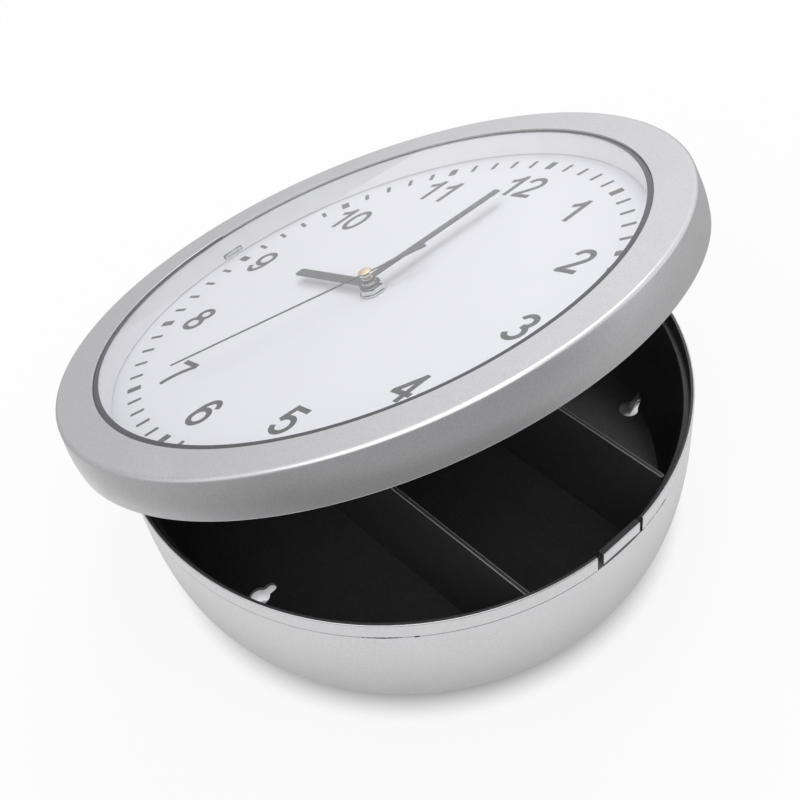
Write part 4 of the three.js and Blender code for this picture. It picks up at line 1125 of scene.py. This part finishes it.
def makeShaftFittings():
    base, bore, rim = levels["dialTop"], hands["nutBore"], hands["washerRadius"]
    foot, top = base + hands["washerLow"], base + hands["washerTop"]
    washer = lathe([(bore, foot), (rim, foot), (rim, top), (bore, top)], steps=96)
    roundRings(washer, (rim, top, hands["washerRound"]))
    finish(washer, "flat_washer", turnedSteel, "lid", "steel", "shaft_washer")
    low, half = base + hands["nutLow"], hands["nutWidth"] / 2
    high = low + hands["nutHeight"]
    nut = rod(half / math.cos(math.pi / 6), low, high, segments=6)
    wide = half + hands["crownReach"]
    crown = lathe([
        (0, low - spare), (wide, low - spare), (wide, high - hands["crownDrop"]),
        (half - hands["crownInset"], high), (0, high),
    ], closed=False, steps=96)
    nut = combine(nut, [crown], "INTERSECT")
    nut = combine(nut, [rod(bore, low - spare, high + spare)])
    finish(nut, "hex_nut", turnedSteel, "lid", "steel", "shaft_nut")
    # threaded sleeve over the movement's collar
    threads = []
    pitch, radius, inside = hands["pitch"], hands["sleeveRadius"], hands["collarRadius"] + hands["sleeveGap"]
    end = base + hands["sleeveTop"] + hands["sleeveEndSunk"]
    for i in range(int(hands["sleeveTop"] / pitch)):
        z = base + i * pitch
        threads += [(radius - hands["sleeveSunk"], z), (radius, z + pitch / 2)]
    sleeve = lathe([
        (inside, base), *threads, (radius - hands["sleeveEndSunk"], end), (inside, end),
    ], steps=72)
    finish(sleeve, "threaded_sleeve", turnedSteel, "lid", "steel")


makeBladeHand("hour_blade", hands["hour"], "hours", "hour_hand")
makeBladeHand("minute_blade", hands["minute"], "minutes", "minute_hand")
makeSecondHand()
makeCap()
makeShaftFittings()
print("hands made")


# Lid back and its screws

pan = {
    "innerRadius": 109.5, "wall": 1.2, "floor": 1.6, "flangeThickness": 1.2, "hole": 3.5,
    "noseReach": 0.65, "noseWidth": 14, "noseTop": 67.1, "noseHeight": 1.0, "screwHole": 1.1,
    "footRound": 0.8, "rootRound": 0.5, "flangeRound": 0.3, "noseRound": 0.2,
}
screw = {
    "headRadius": 2.2, "headHeight": 1.2, "shank": 0.8, "length": 6, "recess": 0.5, "recessReach": 1.3,
    "recessHalf": 0.22, "below": 0.3, "crownShare": 0.75, "crownRise": 0.08, "sideRise": 0.6, "turn": 0.7,
}


def makePan():
    low, flange, hole = levels["panLow"], levels["flangeLow"], pan["hole"]
    inner, outer, wide = pan["innerRadius"], pan["innerRadius"] + pan["wall"], bezel["flangeRadius"]
    top, floor = flange + pan["flangeThickness"], low + pan["floor"]
    tray = lathe([
        (hole, low), (outer, low), (outer, flange), (wide, flange), (wide, top), (inner, top),
        (inner, floor), (hole, floor),
    ])
    roundRings(
        tray, (outer, low, pan["footRound"]), (outer, flange, pan["rootRound"]),
        (wide, flange, pan["flangeRound"]), (inner, floor, pan["rootRound"]),
    )
    half = pan["noseWidth"] / 2
    nose = block(
        (outer - pan["wall"] / 2, -half, pan["noseTop"] - pan["noseHeight"]),
        (outer + pan["noseReach"], half, pan["noseTop"]),
    )
    tray = combine(tray, [roundCorners(nose, pan["noseRound"])], "UNION")
    tray = combine(tray, [rod(pan["screwHole"], flange - spare, top + spare, place) for place in screwPlaces])
    finish(tray, "lid_pan", black, "lid", "black_plastic", "lid_back")


def makeScrew(index, place):
    top = levels["flangeLow"] - screw["below"]
    low, tip = top - screw["headHeight"], top + screw["length"]
    head, shank, reach, half = (screw[key] for key in ("headRadius", "shank", "recessReach", "recessHalf"))
    dome = lathe([
        (0, low), (head * screw["crownShare"], low + screw["crownRise"]), (head, low + screw["sideRise"]),
        (head, top), (shank, top), (shank, tip), (0, tip),
    ], closed=False, steps=40)
    cross = [
        block((-x, -y, low - spare), (x, y, low + screw["recess"])) for x, y in ((reach, half), (half, reach))
    ]
    whole = combine(dome, cross)
    whole.transform(Matrix.Translation((*place, 0)) @ Matrix.Rotation(screw["turn"] * index, 4, "Z"))
    node = f"lid_screw_{index + 1}"
    finish(whole, f"pan_screw_{index + 1}", steel, "lid", "steel", node)


makePan()
for screwIndex, screwPlace in enumerate(screwPlaces):
    makeScrew(screwIndex, screwPlace)
print("lid back made")


# Movement: case, cover, cell, setting knob

cellSizes = {
    "radius": 7.1, "length": 49, "nubRadius": 2.7, "nubLength": 1, "y": -21.65,
    "depth": 8.8, "bandStart": 16, "crimp": 0.6, "baseRadius": 5.2, "baseSunk": 0.15, "endSlope": 0.05,
    "endReach": 1.2, "nubReach": 0.5, "nubSunk": 0.25, "nubRound": 0.3, "metalEdge": 0.1, "metalEnd": 0.3,
}
knob = {
    "x": 19.9, "y": -2.267, "radius": 5, "high": 47.4, "low": 44.4, "flutes": 24, "fluteDepth": 0.32,
    "shaft": 1.0, "shaftSunk": 0.5, "shaftGap": 1.7, "round": 0.1, "dishWall": 1.3, "dishDepth": 0.5,
    "slotReach": 2.6, "slotHalf": 0.45, "slotDepth": 1.1,
}


def makeCell():
    size = cellSizes
    half, shift = size["length"] / 2, -size["nubLength"] / 2
    left, right = shift - half, shift + half
    radius, crimp, base, nub = size["radius"], size["crimp"], size["baseRadius"], size["nubRadius"]
    nubEnd, nubFoot = right + size["nubLength"], right - size["nubSunk"]
    can = lathe([
        (0, left + size["baseSunk"]), (base, left + size["baseSunk"]), (base, left), (radius - crimp, left),
        (radius, left + crimp), (radius, size["bandStart"]), (radius, right - crimp),
        (radius - crimp, right), (nub + size["endReach"], right - size["endSlope"]),
        (nub + size["nubReach"], nubFoot), (nub, nubFoot), (nub, nubEnd), (0, nubEnd),
    ], closed=False, steps=96)
    roundRings(can, (nub, nubEnd, size["nubRound"]))
    side, end = radius - crimp - size["metalEdge"], size["metalEnd"]

    def slotOf(centre):
        # metal ends, a sleeve in two colours between them
        if centre.xy.length <= side or centre.z > right - end or centre.z < left + end:
            return 0
        return 2 if centre.z > size["bandStart"] else 1
    paintFaces(can, slotOf)
    can.transform(
        Matrix.Translation((0, size["y"], levels["caseFront"] - size["depth"]))
        @ Matrix.Rotation(math.pi / 2, 4, "Y")
    )
    finish(can, "aa_cell", [turnedSteel, sleeveBlue, sleeveGrey], "cell", "cell_sleeve", "cell")


def makeKnob():
    low, high, radius, steps = knob["low"], knob["high"], knob["radius"], knob["flutes"] * 4
    rim = []
    for i in range(steps):
        reach = radius - (knob["fluteDepth"] if i % 4 in (2, 3) else 0)
        angle = 2 * math.pi * i / steps
        rim.append((reach * math.cos(angle), reach * math.sin(angle)))
    wheel = roundCorners(slab(rim, low, high), knob["round"], sharp=70)
    reach, half = knob["slotReach"], knob["slotHalf"]
    dish = rod(radius - knob["dishWall"], low - spare, low + knob["dishDepth"], segments=64)
    wheel = combine(wheel, [dish])
    wheel = combine(wheel, [block((-reach, -half, low - spare), (reach, half, low + knob["slotDepth"]))])
    end = levels["caseFront"] - knob["shaftGap"]
    wheel = combine(wheel, [rod(knob["shaft"], high - knob["shaftSunk"], end, segments=32)], "UNION")
    wheel.transform(Matrix.Translation((knob["x"], knob["y"], 0)))
    finish(wheel, "setting_wheel", nylon, "setting", "white_nylon", "setting_knob")


makeCell()
makeKnob()
softCopy("movement_case", "case_moulding", blackSmooth, 0.22)
softCopy("movement_cover", "cover_moulding", blackSmooth, 0.15)
softCopy("contact_positive", "spring_contact_plus", turnedSteel, 0.08)
softCopy("contact_negative", "spring_contact_minus", turnedSteel, 0.08)

inner = {
    "stator": steel, "coil": copper, "coil_core": steel, "circuit_board": board,
    "quartz_crystal": turnedSteel, "centre_wheel": nylon, "hour_wheel": nylon, "second_wheel": nylon,
    "third_wheel": nylon,
    "fifth_wheel": nylon, "minute_wheel": nylon, "minute_arbor": brass, "rotor": magnet,
}
for nodeName, material in inner.items():
    mesh = frame["nodes"][nodeName].data
    mesh.materials.clear()
    mesh.materials.append(material)
print("movement made")


# Floor, light and camera

studio = {
    "floorSize": 9.0, "floorShade": 0.8, "cameraGlow": 0.84, "glossGlow": 0.95,
    "ramps": {
        # place on the floor, where a change round it starts and ends in metres, value before and after
        "near": ((0, 0, 0), 0.09, 0.16, 0.44, 0.97),
        "outward": ((0, 0, 0), 0.165, 0.27, 0.0, 1.0),
        "patch": ((0.62, -0.48, 0), 0.42, 0.85, 0.11, 0.46),
        "under": ((0, 0, 0), 0.094, 0.115, 0.07, 1.0),
        "spot": ((0, -0.086, 0), 0.012, 0.018, 2.2, 0.0),
    },
    "worldShade": (0.985, 0.98, 1.0, 1), "worldFill": 0.72,
    "darkSides": [
        # direction, where the darkening starts and ends on it, brightness at its end
        ((0.88, -0.475, 0.0), 0.0, 0.75, 0.27),
        ((-0.95, -0.31, 0.0), 0.6, 0.95, 0.55),
    ],
    "lamps": [
        # name, place in metres, width, watts
        ("key", (0.45, -0.75, 1.8), 2.6, 19.5),
        ("edge", (-0.68, 0.86, 1.68), 0.9, 8.0),
    ],
}
view = {"place": (283.9, -207.5, 437.2), "turn": (42.491, 6.290, 47.384), "focal": 57.07, "sensor": 36}


def makeFloor():
    bm = bmesh.new()
    bmesh.ops.create_grid(bm, x_segments=1, y_segments=1, size=studio["floorSize"] / 2)
    floor = looseObject(bm, "floor")
    grey = (*[studio["floorShade"]] * 3, 1)
    material, tree, shader = newMaterial("paleFloor", Base_Color=grey, Roughness=0.9, Specular_IOR_Level=0.0)
    path = addNode(tree, "ShaderNodeLightPath").outputs
    gloss, bounce = path["Is Glossy Ray"], path["Is Diffuse Ray"]
    direct = anyOf(tree, path["Is Camera Ray"], path["Is Transmission Ray"])
    point = objectPoint(tree)
    ramps = {}
    for name, (place, *numbers) in studio["ramps"].items():
        apart = vectorOf(tree, "DISTANCE", point, place)
        ramps[name] = rangeOf(tree, apart, *numbers, interpolation_type="SMOOTHSTEP")
    # a gloss sees light close to the clock, and a dark patch in front of it
    pool = mixOf(tree, ramps["outward"], ramps["near"], ramps["patch"])
    # the camera and clear plastic see white, except under the bowl, where the floor is painted dark as a
    # painted shadow
    seen = mixOf(tree, gloss, ramps["under"], pool)
    # a spot there sends light in through the lower keyhole from behind
    glow = addNode(tree, "ShaderNodeEmission", {"Strength": mixOf(tree, bounce, seen, ramps["spot"])})
    glowing = [
        mathOf(tree, "MULTIPLY", source, share, use_clamp=True) for source, share in (
            (direct, studio["cameraGlow"]), (gloss, studio["glossGlow"]), (bounce, ramps["spot"]),
        )
    ]
    mixShaders(tree, anyOf(tree, *glowing), shader, glow)
    floor.data.materials.append(material)


def makeWorld():
    world = bpy.data.worlds.new("studio")
    world.use_nodes = True
    tree = world.node_tree
    path = addNode(tree, "ShaderNodeLightPath").outputs
    background = anyOf(tree, *(path[f"Is {kind} Ray"] for kind in ("Camera", "Glossy", "Transmission")))
    # the sides without a backdrop look darker to a gloss
    direction = objectPoint(tree)
    bright = 1.0
    for side, start, end, low in studio["darkSides"]:
        toward = vectorOf(tree, "DOT_PRODUCT", direction, side)
        fade = rangeOf(tree, toward, start, end, 1.0, low, interpolation_type="SMOOTHSTEP")
        bright = mathOf(tree, "MULTIPLY", bright, fade)
    seen = mixOf(tree, path["Is Glossy Ray"], 1.0, bright)
    shade = tree.nodes["Background"]
    shade.inputs["Color"].default_value = studio["worldShade"]
    tree.links.new(mixOf(tree, background, studio["worldFill"], seen), shade.inputs["Strength"])
    bpy.context.scene.world = world


def makeLamps():
    for name, place, width, watts in studio["lamps"]:
        data = bpy.data.lights.new(name, "AREA")
        data.shape = "DISK"
        data.size = width
        data.energy = watts
        lamp = bpy.data.objects.new(name, data)
        lamp.location = place
        lamp.rotation_euler = (-Vector(place)).to_track_quat("-Z", "Y").to_euler()
        bpy.context.scene.collection.objects.link(lamp)


def makeCamera():
    data = bpy.data.cameras.new("camera")
    data.lens = view["focal"]
    data.sensor_width = view["sensor"]
    data.clip_start = 0.01
    camera = bpy.data.objects.new("camera", data)
    camera.location = Vector(view["place"]) * mm
    camera.rotation_euler = [math.radians(angle) for angle in view["turn"]]
    bpy.context.scene.collection.objects.link(camera)
    bpy.context.scene.camera = camera


makeFloor()
makeWorld()
makeLamps()
makeCamera()
bpy.context.scene.view_settings.view_transform = "Standard"
print("studio made")
